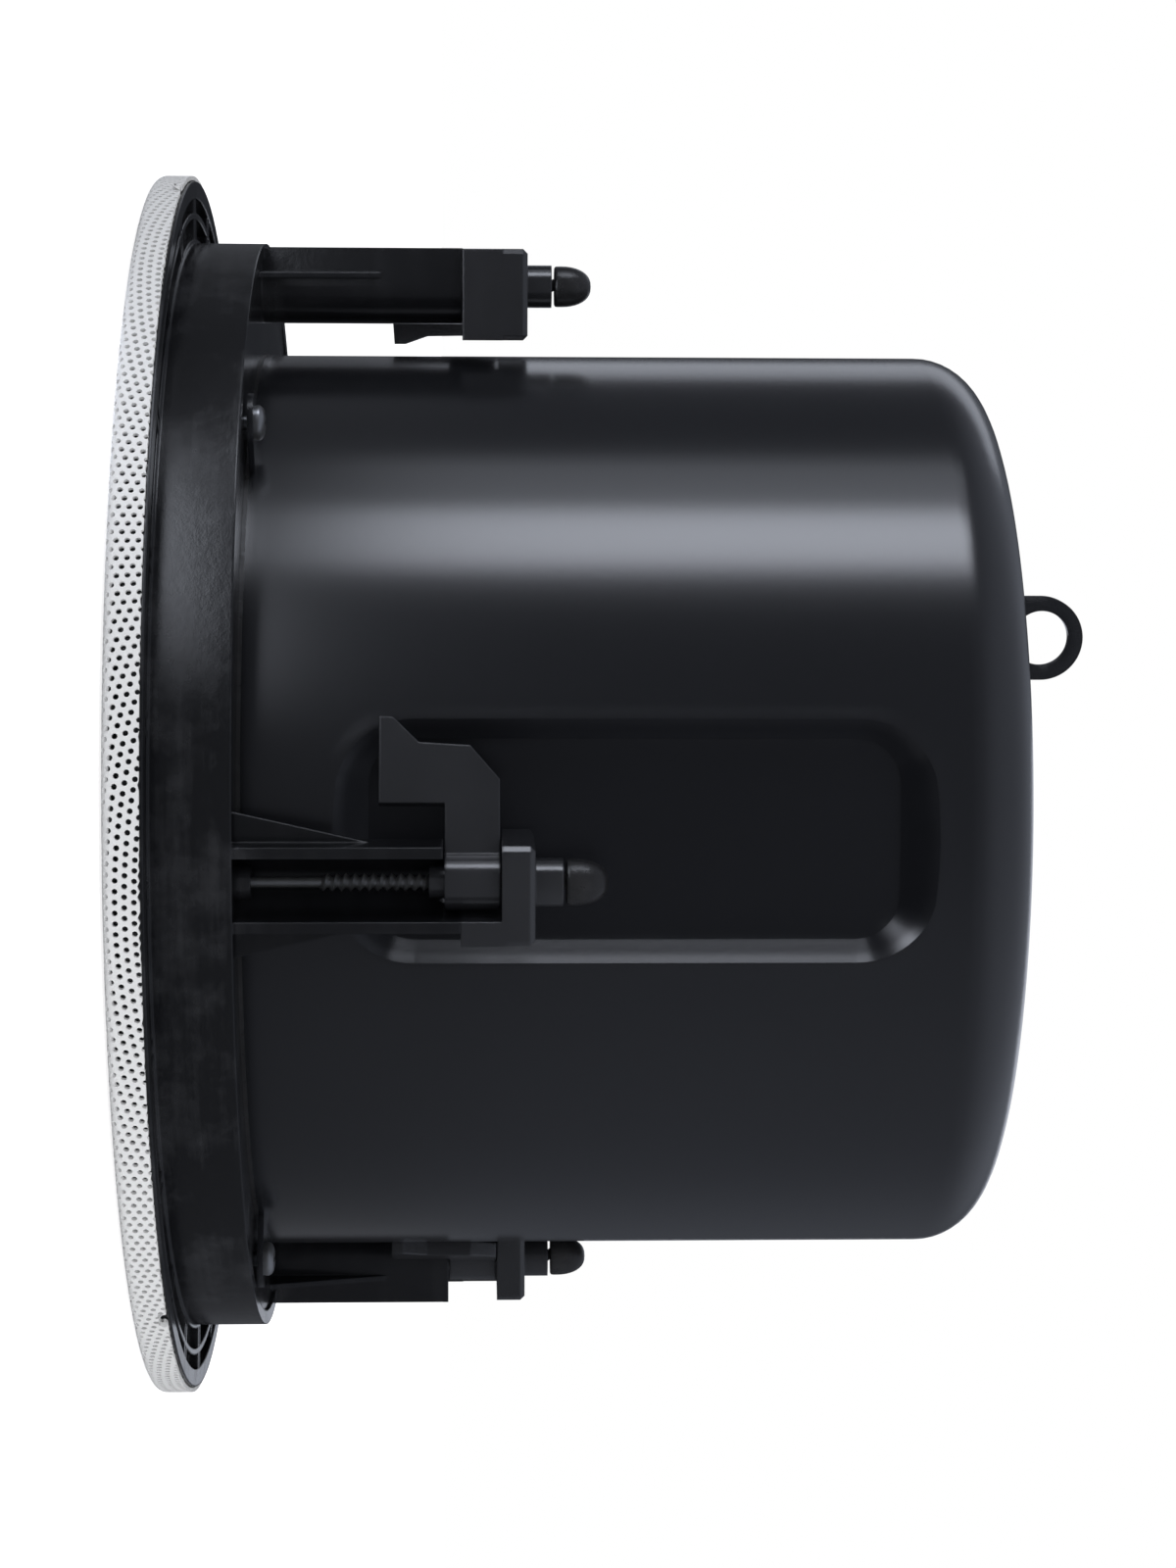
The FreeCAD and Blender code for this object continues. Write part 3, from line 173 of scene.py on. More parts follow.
class ScrewSettings(bpy.types.PropertyGroup):
    """Sizes of the clamp screws and their tips."""

    thread: FloatProperty(
        name="Thread radius", description="Outer radius of the thread", default=0.00172, unit="LENGTH")
    root: FloatProperty(
        name="Root radius", description="Radius of the shank and of the thread's root", default=0.001,
        unit="LENGTH")
    pitch: FloatProperty(
        name="Thread pitch", description="Rise of the thread in one turn", default=0.00175, unit="LENGTH")
    start: FloatProperty(
        name="Thread start", description="Height at which the thread starts", default=0.0394, unit="LENGTH")
    head: FloatProperty(
        name="Head radius", description="Radius of the screw's head", default=0.0036, unit="LENGTH")
    head_height: FloatProperty(
        name="Head height", description="Height of the screw's head", default=0.0026, unit="LENGTH")
    recess: FloatProperty(
        name="Recess radius", description="Radius of the drive recess at its floor", default=0.0011,
        unit="LENGTH")
    recess_mouth: FloatProperty(
        name="Recess mouth", description="Radius of the drive recess at its mouth", default=0.0013,
        unit="LENGTH")
    recess_depth: FloatProperty(
        name="Recess depth", description="Depth of the drive recess", default=0.0007, unit="LENGTH")
    chamfer: FloatProperty(
        name="End chamfer", description="Height of the chamfer at the screw's end", default=0.0003,
        unit="LENGTH")


class FinishSettings(bpy.types.PropertyGroup):
    """Colours of the finishes."""

    white_coat: FloatVectorProperty(
        name="White coat", description="Powder coat of the grille", default=(0.80, 0.80, 0.80), size=3,
        subtype="COLOR")
    moulding: FloatVectorProperty(
        name="Black moulding", description="Bezel and tweeter cup", default=(0.006, 0.0063, 0.0075), size=3,
        subtype="COLOR")
    nylon: FloatVectorProperty(
        name="Nylon", description="Tower caps and dogs", default=(0.0155, 0.0161, 0.0185), size=3,
        subtype="COLOR")
    scuff: FloatVectorProperty(
        name="Scuffs", description="Worn patches on the black plastics", default=(0.034, 0.035, 0.039),
        size=3, subtype="COLOR")
    can_paint: FloatVectorProperty(
        name="Can paint", description="Satin paint of the back can", default=(0.0062, 0.0066, 0.0082),
        size=3, subtype="COLOR")
    rubber: FloatVectorProperty(
        name="Rubber", description="Screw tips, gasket and surround", default=(0.012, 0.012, 0.013), size=3,
        subtype="COLOR")
    black_steel: FloatVectorProperty(
        name="Black steel", description="Blackened screws", default=(0.24, 0.245, 0.255), size=3,
        subtype="COLOR")


class StageSettings(bpy.types.PropertyGroup):
    """The camera and the lamps."""

    lens: FloatProperty(
        name="Lens", description="Focal length of the camera", default=71.58, unit="CAMERA")
    distance: FloatProperty(
        name="Distance", description="From the camera to the loudspeaker's axis", default=0.7078,
        unit="LENGTH")
    height: FloatProperty(
        name="Height", description="Height of the camera over the floor", default=0.0683, unit="LENGTH")
    aim: FloatProperty(
        name="Aim", description="Height of the point on the axis that the camera looks at", default=0.0942,
        unit="LENGTH")
    azimuth: FloatProperty(
        name="Azimuth", description="Turn of the camera round the axis", default=math.radians(9.71),
        subtype="ANGLE")
    roll: FloatProperty(
        name="Roll", description="Roll of the camera", default=0.0, subtype="ANGLE")
    strip_colour: FloatVectorProperty(
        name="Strip colour", description="Light of the lamps that reflections show",
        default=(0.93, 0.98, 1.1), size=3, subtype="COLOR")
    fill_colour: FloatVectorProperty(
        name="Fill colour", description="Light of the lamps that reflections don't show",
        default=(0.98, 1.0, 1.03), size=3, subtype="COLOR")
    soft_light: FloatProperty(
        name="Soft light", description="Level of the room's light on rough surfaces", default=0.45)


class Value:
    """A node's socket, for use in sums and products."""

    def __init__(self, graph, socket):
        self.graph = graph
        self.socket = socket

    def out(self, name):
        """Another output of the same node."""
        return Value(self.graph, self.socket.node.outputs[name])

    def math(self, operation, *others):
        return self.graph.math(operation, self, *others)

    def __add__(self, other):
        return self.math("ADD", other)

    def __sub__(self, other):
        return self.math("SUBTRACT", other)

    def __mul__(self, other):
        return self.math("MULTIPLY", other)

    def __truediv__(self, other):
        return self.math("DIVIDE", other)

    def __radd__(self, other):
        return self.graph.math("ADD", other, self)

    def __rsub__(self, other):
        return self.graph.math("SUBTRACT", other, self)

    def __rmul__(self, other):
        return self.graph.math("MULTIPLY", other, self)

    def __rtruediv__(self, other):
        return self.graph.math("DIVIDE", other, self)


class Graph:
    """A node tree that is written as expressions."""

    def __init__(self, tree):
        self.tree = tree
        tree.nodes.clear()

    def add(self, kind, settings=None, inputs=None, output=0):
        """A node of one kind: its settings first, then the values or links of its sockets."""
        node = self.tree.nodes.new(kind)
        for name, setting in (settings or {}).items():
            if name == "stops":
                self.set_stops(node.color_ramp, setting)
            else:
                setattr(node, name, setting)
        for key, given in (inputs or {}).items():
            if isinstance(given, Value):
                self.tree.links.new(given.socket, node.inputs[key])
            else:
                node.inputs[key].default_value = given
        if not node.outputs:
            return node
        return Value(self, node.outputs[output])

    @staticmethod
    def set_stops(ramp, stops):
        for index, (position, grey) in enumerate(stops):
            element = ramp.elements[index] if index < 2 else ramp.elements.new(position)
            element.position = position
            element.color = (grey, grey, grey, 1.0)

    def math(self, operation, *values):
        return self.add("ShaderNodeMath", {"operation": operation}, dict(enumerate(values)))

    def vector(self, x, y, z):
        return self.add("ShaderNodeCombineXYZ", None, {"X": x, "Y": y, "Z": z})

    def split(self, vector):
        parts = self.add("ShaderNodeSeparateXYZ", None, {"Vector": vector})
        return parts, parts.out("Y"), parts.out("Z")

    def reach(self, x, y):
        """The distance of a point from the Z axis."""
        return self.math("SQRT", x * x + y * y)

    def dot(self, vector, direction):
        """How far a vector goes along a fixed direction."""
        return self.add("ShaderNodeVectorMath", {"operation": "DOT_PRODUCT"}, {
            0: vector, 1: direction}).out("Value")

    def ease(self, value, start, end, low, high):
        """Goes smoothly from low to high while the value goes from start to end."""
        return self.add("ShaderNodeMapRange", {"interpolation_type": "SMOOTHSTEP"}, {
            "Value": value, "From Min": start, "From Max": end, "To Min": low, "To Max": high})

    def join(self, *parts):
        """Several geometries as one."""
        joined = self.add("GeometryNodeJoinGeometry")
        for part in parts:
            self.tree.links.new(part.socket, joined.socket.node.inputs[0])
        return joined

    def blend(self, share, first, second):
        """A colour between two others."""
        return self.add("ShaderNodeMix", {"data_type": "RGBA"}, {0: share, 6: first, 7: second}, output=2)

    def noise(self, vector, scale, detail=3.0, roughness=0.55):
        return self.add("ShaderNodeTexNoise", None, {
            "Vector": vector, "Scale": scale, "Detail": detail, "Roughness": roughness})

    def ramp(self, share, stops):
        return self.add("ShaderNodeValToRGB", {"stops": stops}, {"Fac": share})


def rgba(colour):
    return (*colour, 1.0)


def shade(colour, factor):
    """A paler or darker neighbour of a colour."""
    return rgba([factor * part for part in colour])


def around_axis(graph, spot):
    """The angle round the Z axis, the height and the distance from the axis."""
    x, y, z = graph.split(spot)
    return graph.math("ARCTAN2", y, x), z, graph.reach(x, y)


def finish(name, build, **constants):
    """A material whose builder links what varies. Constants go straight on the shader's sockets."""
    material = bpy.data.materials.new(name)
    material.use_nodes = True
    graph = Graph(material.node_tree)
    spot = graph.add("ShaderNodeTexCoord").out("Object")
    varying = build(graph, spot)
    inputs = {key.replace("_", " "): given for key, given in constants.items()}
    shader = graph.add("ShaderNodeBsdfPrincipled", None, {**inputs, **varying})
    graph.add("ShaderNodeOutputMaterial", None, {"Surface": shader})
    return material


def bump(graph, height, distance, strength=1.0, rounding=0.0):
    """A normal from a height, over edges that are rounded off by a small radius."""
    inputs = {"Height": height, "Distance": distance, "Strength": strength}
    if rounding:
        inputs["Normal"] = graph.add("ShaderNodeBevel", {"samples": 6}, {"Radius": rounding})
    return graph.add("ShaderNodeBump", None, inputs)


def white_coat(settings):
    """Powder coat with a fine orange peel."""
    colour = settings.white_coat

    def build(graph, spot):
        patch = graph.noise(spot, scale=35.0, detail=2.0)
        peel = graph.noise(spot, scale=1800.0, detail=2.0)
        return {
            "Base Color": graph.blend(patch * 0.35, rgba(colour), shade(colour, 0.93)),
            "Roughness": 0.42 + patch * 0.12,
            "Normal": bump(graph, peel, distance=0.00004),
        }
    return finish("white_powder_coat", build, Specular_IOR_Level=0.4)


def black_moulding(name, colour, scuff, drag_share, shine):
    """Glossy black plastic, with scuffs that run round the axis where it was handled."""
    def build(graph, spot):
        angle, height, _ = around_axis(graph, spot)
        mottle = graph.noise(spot, scale=55.0, detail=5.0, roughness=0.65)
        drag = graph.noise(
            graph.vector(angle * 2.2, height * 260.0, 0.0), scale=1.0, detail=4.0, roughness=0.6)
        grain = graph.noise(spot, scale=2600.0, detail=2.0)
        ripple = graph.noise(spot, scale=420.0, detail=2.0)
        # The towers above the collar were handled less.
        low_down = graph.add("ShaderNodeMapRange", None, {
            "Value": height, "From Min": 0.022, "From Max": 0.028, "To Min": 1.0, "To Max": 0.2})
        marks = mottle * (1.0 - drag_share) + drag * drag_share
        worn = low_down * graph.ramp(marks, [(0.48, 0.0), (0.72, 1.0)])
        relief = grain * 0.3 + mottle * 0.4 + ripple * 0.7
        return {
            "Base Color": graph.blend(worn, rgba(colour), rgba(scuff)),
            "Roughness": 0.17 + worn * 0.12 + grain * 0.05,
            "Normal": bump(graph, relief, distance=0.00004, rounding=0.0006),
        }
    return finish(name, build, Specular_IOR_Level=shine)


def drum_wall():
    """The middle, the radius and the top of the can's plain wall."""
    foot = CAD_BOX[1].z * WALL_FOOT
    top = CAD_BOX[1].z * WALL_TOP
    spots = [v.co for v in frame["nodes"]["back_can"].data.vertices if foot < v.co.z < top]
    low, high = (Vector((pick(s.x for s in spots), pick(s.y for s in spots), 0.0)) for pick in (min, max))
    middle = (low + high) / 2
    return middle, max((Vector((s.x, s.y, 0.0)) - middle).length for s in spots), top


def can_paint(settings):
    """Satin paint with a clear coat that is thinner down in the presses."""
    colour = settings.can_paint
    middle, radius, top = drum_wall()

    def build(graph, spot):
        cloud = graph.noise(spot, scale=22.0)
        peel = graph.noise(spot, scale=620.0, detail=2.0)
        speck = graph.noise(spot, scale=3000.0, detail=1.0)
        x, y, z = graph.split(spot)
        depth = radius - graph.reach(x - middle.x, y - middle.y)
        thin = graph.ease(depth, 0.0004, 0.003, 0.0, 0.65)
        return {
            "Base Color": graph.blend(cloud * 0.5, rgba(colour), shade(colour, 1.5)),
            "Roughness": 0.16 + cloud * 0.05 + speck * 0.04,
            "Coat Weight": 1.0 - thin * graph.math("LESS_THAN", z, top),
            "Normal": bump(graph, peel + speck * 0.3, distance=0.00003, rounding=0.0035),
        }
    return finish("satin_can_paint", build, Specular_IOR_Level=0.15, Coat_IOR=1.7, Coat_Roughness=0.215)


def dull_rubber(settings):
    """Black rubber with fine creases and a little dust."""
    colour = settings.rubber

    def build(graph, spot):
        crease = graph.noise(spot, scale=420.0, detail=4.0, roughness=0.7)
        dust = graph.ramp(graph.noise(spot, scale=160.0), [(0.5, 0.0), (0.72, 1.0)])
        return {
            "Base Color": graph.blend(dust * 0.5, rgba(colour), shade(colour, 2.4)),
            "Roughness": 0.18 + crease * 0.25,
            "Normal": bump(graph, crease, distance=0.00016),
        }
    return finish("black_rubber", build, Specular_IOR_Level=0.5)


def black_steel(settings):
    """Blackened steel, rubbed paler in places."""
    colour = settings.black_steel

    def build(graph, spot):
        wear = graph.noise(spot, scale=240.0, detail=2.0)
        return {
            "Base Color": graph.blend(wear, rgba(colour), shade(colour, 1.5)),
            "Roughness": 0.26 + wear * 0.12,
        }
    return finish("blackened_steel", build, Metallic=0.9)


def two_tone(name, dark, light, scale, rough, relief=0.00004, **constants):
    """A plain finish for the pieces inside: two close colours in a fine grain."""
    def build(graph, spot):
        grain = graph.noise(spot, scale, detail=4.0, roughness=0.6)
        tone = graph.ramp(grain, [(0.35, 0.0), (0.65, 1.0)])
        return {
            "Base Color": graph.blend(tone, rgba(dark), rgba(light)),
            "Roughness": rough + grain * 0.15,
            "Normal": bump(graph, grain, relief),
        }
    return finish(name, build, **constants)


def weave(name, dark, light, threads, spokes=180.0):
    """Cloth: threads round the axis, so many to a metre, and spokes that pass over and under them."""
    def build(graph, spot):
        angle, _, radius = around_axis(graph, spot)
        across = graph.math("SINE", radius * (threads * ROUND))
        along = graph.math("SINE", angle * spokes)
        over = across * along * 0.5 + 0.5
        return {
            "Base Color": graph.blend(over, rgba(dark), rgba(light)),
            "Roughness": 0.75 + over * 0.15,
            "Normal": bump(graph, over, distance=0.00015),
        }
    return finish(name, build, Specular_IOR_Level=0.3)


def new_piece(name, mesh, body, slot, *nodes):
    """An object at the origin that rides on a body and stands for the solids that it names."""
    mesh.name = name
    piece = bpy.data.objects.new(name, mesh)
    bpy.context.scene.collection.objects.link(piece)
    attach(piece, body)
    if nodes:
        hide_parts(*nodes)
    return piece


def smooth(mesh, angle=math.radians(35)):
    mesh.polygons.foreach_set("use_smooth", [True] * len(mesh.polygons))
    mesh.set_sharp_from_angle(angle=angle)


def dome(radius, foot, top, power, steps):
    """Points of a rounded end, from its foot almost to its top. A smaller power makes it blunter."""
    turns = [QUARTER * i / steps for i in range(steps)]
    return [(radius * math.cos(turn) ** power, foot + (top - foot) * math.sin(turn)) for turn in turns]


def lathe(profile, sides):
    """A closed form turned from points of radius and height, from the axis to the axis."""
    turns = [ROUND * i / sides for i in range(sides)]
    form = bmesh.new()
    rings = []
    for radius, height in profile:
        ring = [(radius * math.cos(turn), radius * math.sin(turn), height) for turn in turns]
        # A point on the axis is one vertex, not a ring of them.
        rings.append([form.verts.new(spot) for spot in (ring if radius else ring[:1])])
    for low, high in zip(rings, rings[1:]):
        for i in range(sides):
            j = (i + 1) % sides
            corners = [low[i % len(low)], low[j % len(low)], high[j % len(high)], high[i % len(high)]]
            form.faces.new(list(dict.fromkeys(corners)))
    bmesh.ops.recalc_face_normals(form, faces=form.faces)
    mesh = bpy.data.meshes.new("turned")
    form.to_mesh(mesh)
    form.free()
    return mesh


def new_tree(name, inputs):
    """A geometry tree with named inputs, given as name, socket type and default."""
    tree = bpy.data.node_groups.new(name, "GeometryNodeTree")
    for label, kind, default in inputs:
        socket = tree.interface.new_socket(label, in_out="INPUT", socket_type=kind)
        if default is not None:
            socket.default_value = default
    tree.interface.new_socket("Geometry", in_out="OUTPUT", socket_type="NodeSocketGeometry")
    graph = Graph(tree)
    given = graph.add("NodeGroupInput")
    return tree, graph, {label: given.out(label) for label, _, _ in inputs}


def close_tree(graph, geometry, material):
    """End a tree: real meshes instead of instances, with their material."""
    real = graph.add("GeometryNodeRealizeInstances", None, {"Geometry": geometry})
    done = graph.add("GeometryNodeSetMaterial", None, {"Geometry": real, "Material": material})
    graph.add("NodeGroupOutput", None, {"Geometry": done})


def grown(tree, values, base=None, sheet=0.0):
    """The mesh that a tree makes, with its inputs set by name before it is first evaluated."""
    seed = bpy.data.objects.new("seed", base or bpy.data.meshes.new("seed"))
    bpy.context.scene.collection.objects.link(seed)
    modifier = seed.modifiers.new("tree", "NODES")
    modifier.node_group = tree
    for item in tree.interface.items_tree:
        if item.item_type == "SOCKET" and item.in_out == "INPUT" and item.name in values:
            modifier[item.identifier] = values[item.name]
    if sheet:
        wall = seed.modifiers.new("sheet", "SOLIDIFY")
        wall.thickness = sheet
        wall.offset = -1.0
    ready = seed.evaluated_get(bpy.context.evaluated_depsgraph_get())
    mesh = bpy.data.meshes.new_from_object(ready)
    seed.modifiers.clear()
    bpy.data.objects.remove(seed)
    return mesh


def staggered_lattice(graph, pitch, reach):
    """Points that cover a disc, in rows of which every second one is moved by half a pitch."""
    row_gap = pitch * (math.sqrt(3) / 2)
    columns = graph.math("CEIL", reach / pitch) * 2 + 3
    rows = graph.math("CEIL", reach / row_gap) * 2 + 3
    lattice = graph.add("GeometryNodeMeshGrid", None, {
        "Size X": (columns - 1) * pitch, "Size Y": (rows - 1) * row_gap,
        "Vertices X": columns, "Vertices Y": rows})
    _, y, _ = graph.split(graph.add("GeometryNodeInputPosition"))
    odd = graph.math("FLOORED_MODULO", graph.math("ROUND", y / row_gap), 2)
    return graph.add("GeometryNodeSetPosition", None, {
        "Geometry": lattice, "Offset": graph.vector(odd * pitch * 0.5, 0.0, 0.0)})


def holed_cell(graph, pitch, hole):
    """One six-sided cell of the sheet with a round hole in its middle."""
    cell = graph.add("GeometryNodeCurvePrimitiveCircle", None, {
        "Resolution": 6, "Radius": pitch / math.sqrt(3)})
    cell = graph.add("GeometryNodeTransform", None, {
        "Geometry": cell, "Rotation": (0.0, 0.0, math.radians(30))})
    rim = graph.add("GeometryNodeCurvePrimitiveCircle", None, {"Resolution": 8, "Radius": hole})
    return graph.add("GeometryNodeFillCurve", None, {"Curve": graph.join(cell, rim)})


def folded_place(graph, given, flat, bend, cut):
    """Where a point of the flat sheet goes when its edge is notched in three places and folded up."""
    fold = given["Fold"]
    x, y, _ = graph.split(graph.add("GeometryNodeInputPosition"))
    reach = graph.reach(x, y)
    angle = graph.math("ARCTAN2", x, y) - given["Notch Turn"]
    sixth = ROUND / 6
    off_notch = graph.math("ABSOLUTE", graph.math("PINGPONG", angle + sixth, sixth) - sixth)
    in_notch = graph.math("LESS_THAN", off_notch * given["Radius"], given["Notch Width"] * 0.5)
    held = graph.math("MINIMUM", reach, cut - in_notch * given["Notch Depth"])
    past = graph.math("MAXIMUM", held - flat, 0.0)
    turn = graph.math("MINIMUM", past, bend) / fold
    radius = graph.math("MINIMUM", held, flat) + fold * graph.math("SINE", turn)
    height = fold * (1.0 - graph.math("COSINE", turn)) + graph.math("MAXIMUM", past - bend, 0.0)
    scale = radius / graph.math("MAXIMUM", reach, TINY)
    return graph.vector(x * scale, y * scale, height)


def perforated_tree():
    """A flat sheet of six-sided cells with a hole in each, cut to a disc and folded over into a rim."""
    tree, graph, given = new_tree("perforated_sheet", [
        ("Pitch", "NodeSocketFloat", 0.002), ("Hole", "NodeSocketFloat", 0.0005),
        ("Radius", "NodeSocketFloat", 0.1), ("Fold", "NodeSocketFloat", 0.002),
        ("Depth", "NodeSocketFloat", 0.007), ("Notch Width", "NodeSocketFloat", 0.003),
        ("Notch Depth", "NodeSocketFloat", 0.0015), ("Notch Turn", "NodeSocketFloat", 0.3),
        ("Sector", "NodeSocketInt", 0), ("Sectors", "NodeSocketInt", 6),
        ("Material", "NodeSocketMaterial", None)])
    pitch, fold = given["Pitch"], given["Fold"]
    flat = given["Radius"] - fold
    bend = fold * QUARTER
    cut = flat + bend + given["Depth"] - fold
    lattice = staggered_lattice(graph, pitch, cut)
    x, y, _ = graph.split(graph.add("GeometryNodeInputPosition"))
    turned = graph.math("ARCTAN2", y, x) / ROUND + 0.5
    # Slightly less than all of it, so that a point at half a turn is still in the last sector.
    sector = graph.math("FLOOR", turned * given["Sectors"] * 0.99999)
    mine = graph.math("COMPARE", sector, given["Sector"], 0.5)
    past_cut = pitch * 0.35
    kept = graph.math("LESS_THAN", graph.reach(x, y), cut + past_cut) * mine
    tiles = graph.add("GeometryNodeInstanceOnPoints", None, {
        "Points": lattice, "Selection": kept, "Instance": holed_cell(graph, pitch, given["Hole"])})
    sheet = graph.add("GeometryNodeRealizeInstances", None, {"Geometry": tiles})
    sheet = graph.add("GeometryNodeMergeByDistance", None, {"Geometry": sheet, "Distance": pitch * 0.02})
    sheet = graph.add("GeometryNodeFlipFaces", None, {"Mesh": sheet})
    sheet = graph.add("GeometryNodeSetPosition", None, {
        "Geometry": sheet, "Position": folded_place(graph, given, flat, bend, cut)})
    # What lay past the cut was pressed flat against it and has no area left.
    no_area = pitch * pitch * 0.0008
    spent = graph.math("LESS_THAN", graph.add("GeometryNodeInputMeshFaceArea"), no_area)
    sheet = graph.add("GeometryNodeDeleteGeometry", {"domain": "FACE"}, {
        "Geometry": sheet, "Selection": spent})
    sheet = graph.add("GeometryNodeMergeByDistance", None, {"Geometry": sheet, "Distance": pitch * 0.01})
    close_tree(graph, sheet, given["Material"])
    return tree


def thread_tree():
    """A screw thread: a ridge of four sides wound round the Z axis."""
    tree, graph, given = new_tree("screw_thread", [
        ("Geometry", "NodeSocketGeometry", None), ("Root", "NodeSocketFloat", 0.001),
        ("Crest", "NodeSocketFloat", 0.0015), ("Pitch", "NodeSocketFloat", 0.001),
        ("Start", "NodeSocketFloat", 0.0), ("Length", "NodeSocketFloat", 0.01),
        ("Material", "NodeSocketMaterial", None)])
    helix = graph.add("GeometryNodeCurveSpiral", None, {
        "Resolution": 24, "Rotations": given["Length"] / given["Pitch"], "Start Radius": given["Root"],
        "End Radius": given["Root"], "Height": given["Length"]})
    helix = graph.add("GeometryNodeSetCurveNormal", {"mode": "Z_UP"}, {"Curve": helix})
    helix = graph.add("GeometryNodeTransform", None, {
        "Geometry": helix, "Translation": graph.vector(0.0, 0.0, given["Start"])})
    ridge = graph.add("GeometryNodeCurvePrimitiveCircle", None, {
        "Resolution": 4, "Radius": given["Crest"] - given["Root"]})
    wound = graph.add("GeometryNodeCurveToMesh", None, {
        "Curve": helix, "Profile Curve": ridge, "Fill Caps": True})
    close_tree(graph, graph.join(given["Geometry"], wound), given["Material"])
    return tree


def scatter_tree():
    """Copies of one small fastener on given points."""
    tree, graph, given = new_tree("fasteners", [
        ("Geometry", "NodeSocketGeometry", None), ("Fastener", "NodeSocketObject", None),
        ("Turn", "NodeSocketFloat", 0.5), ("Material", "NodeSocketMaterial", None)])
    shape = graph.add("GeometryNodeObjectInfo", None, {"Object": given["Fastener"]}).out("Geometry")
    index = graph.add("GeometryNodeInputIndex")
    copies = graph.add("GeometryNodeInstanceOnPoints", None, {
        "Points": given["Geometry"], "Instance": shape,
        "Rotation": graph.vector(0.0, 0.0, index * given["Turn"])})
    close_tree(graph, copies, given["Material"])
    return tree


class LOUDSPEAKER_OT_grille(bpy.types.Operator):
    """Make the perforated grille in place of the plain dish"""

    bl_idname = "loudspeaker.grille"
    bl_label = "Perforated Grille"

    def execute(self, context):
        sizes = context.scene.loudspeaker_grille
        coat = white_coat(context.scene.loudspeaker_finish)
        tree = perforated_tree()
        for sector in range(sizes.sectors):
            mesh = grown(tree, {
                "Pitch": sizes.pitch, "Hole": sizes.hole, "Radius": sizes.radius, "Fold": sizes.fold,
                "Depth": sizes.depth, "Notch Width": sizes.notch_width, "Notch Depth": sizes.notch_depth,
                "Notch Turn": sizes.notch_turn, "Sector": sector, "Sectors": sizes.sectors,
                "Material": coat,
            }, sheet=sizes.sheet)
            smooth(mesh)
            new_piece(f"grille_sector_{sector + 1}", mesh, "frame", "white_paint", "grille")
        return {"FINISHED"}


class LOUDSPEAKER_OT_clamp_screws(bpy.types.Operator):
    """Make the clamp screws with a real thread and the rubber tips on their ends"""

    bl_idname = "loudspeaker.clamp_screws"
    bl_label = "Clamp Screws"

    def execute(self, context):
        sizes = context.scene.loudspeaker_screw
        finishes = context.scene.loudspeaker_finish
        steel = black_steel(finishes)
        rubber = dull_rubber(finishes)
        tree = thread_tree()
        for number in CLAMPS:
            low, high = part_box(f"clamp_screw_{number}")
            mesh = grown(tree, {
                "Root": sizes.root, "Crest": sizes.thread, "Pitch": sizes.pitch, "Start": sizes.start,
                "Length": high.z - sizes.start - sizes.pitch, "Material": steel,
            }, base=self.shank(sizes, low.z, high.z))
            smooth(mesh)
            mesh.transform(Matrix.Translation(clamp_axis(number)))
            new_piece(
                f"threaded_screw_{number}", mesh, f"screw_{number}", "dark_screw", f"clamp_screw_{number}")
            self.add_tip(number, rubber)
        return {"FINISHED"}

    @staticmethod
    def shank(sizes, foot, end):
        """The screw without its thread: a head with a drive recess at the foot, and a thin shank."""
        recess = foot + sizes.recess_depth
        seat = foot + sizes.head_height
        return lathe([
            (0.0, recess), (sizes.recess, recess), (sizes.recess_mouth, foot), (sizes.head * 0.75, foot),
            (sizes.head, foot + sizes.head_height * 0.4), (sizes.head, seat), (sizes.root, seat),
            (sizes.root, end - sizes.chamfer), (sizes.root * 0.8, end), (0.0, end)], sides=24)

    @staticmethod
    def add_tip(number, rubber):
        """A bullet-shaped rubber tip with a rolled foot."""
        low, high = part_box(f"screw_tip_{number}")
        radius = (high.x - low.x) / 2
        tall = high.z - low.z
        foot = [(radius * out, low.z + tall * up) for out, up in TIP_FOOT]
        nose = dome(radius, low.z + tall * TIP_NOSE, high.z, power=0.8, steps=10)
        mesh = lathe([(0.0, low.z), *foot, *nose, (0.0, high.z)], sides=32)
        mesh.materials.append(rubber)
        smooth(mesh, math.radians(50))
        mesh.transform(Matrix.Translation(clamp_axis(number)))
        new_piece(f"bullet_tip_{number}", mesh, f"screw_{number}", "black_rubber", f"screw_tip_{number}")


class LOUDSPEAKER_OT_suspension(bpy.types.Operator):
    """Make the woofer's surround and spider as smooth copies of their solids, between the frame and the cone
    """

    bl_idname = "loudspeaker.suspension"
    bl_label = "Woofer Suspension"

    def execute(self, context):
        rubber = dull_rubber(context.scene.loudspeaker_finish)
        cloth = weave("spider_cloth", (0.3, 0.2, 0.07), (0.5, 0.36, 0.14), threads=900.0)
        soft = (
            ("woofer_surround", "black_rubber", rubber, SURROUND_HELD, SURROUND_FREE),
            ("woofer_spider", "spider_cloth", cloth, SPIDER_HELD, SPIDER_FREE))
        for node, slot, material, held, free in soft:
            solid = frame["nodes"][node]
            mesh = solid.data.copy()
            mesh.transform(solid.matrix_world)
            form = bmesh.new()
            form.from_mesh(mesh)
            bmesh.ops.remove_doubles(form, verts=form.verts, dist=TINY)
            form.to_mesh(mesh)
            form.free()
            mesh.materials.clear()
            mesh.materials.append(material)
            smooth(mesh)
            piece = bpy.data.objects.new(f"{node}_soft", mesh)
            context.scene.collection.objects.link(piece)
            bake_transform(piece)
            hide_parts(node)
        return {"FINISHED"}


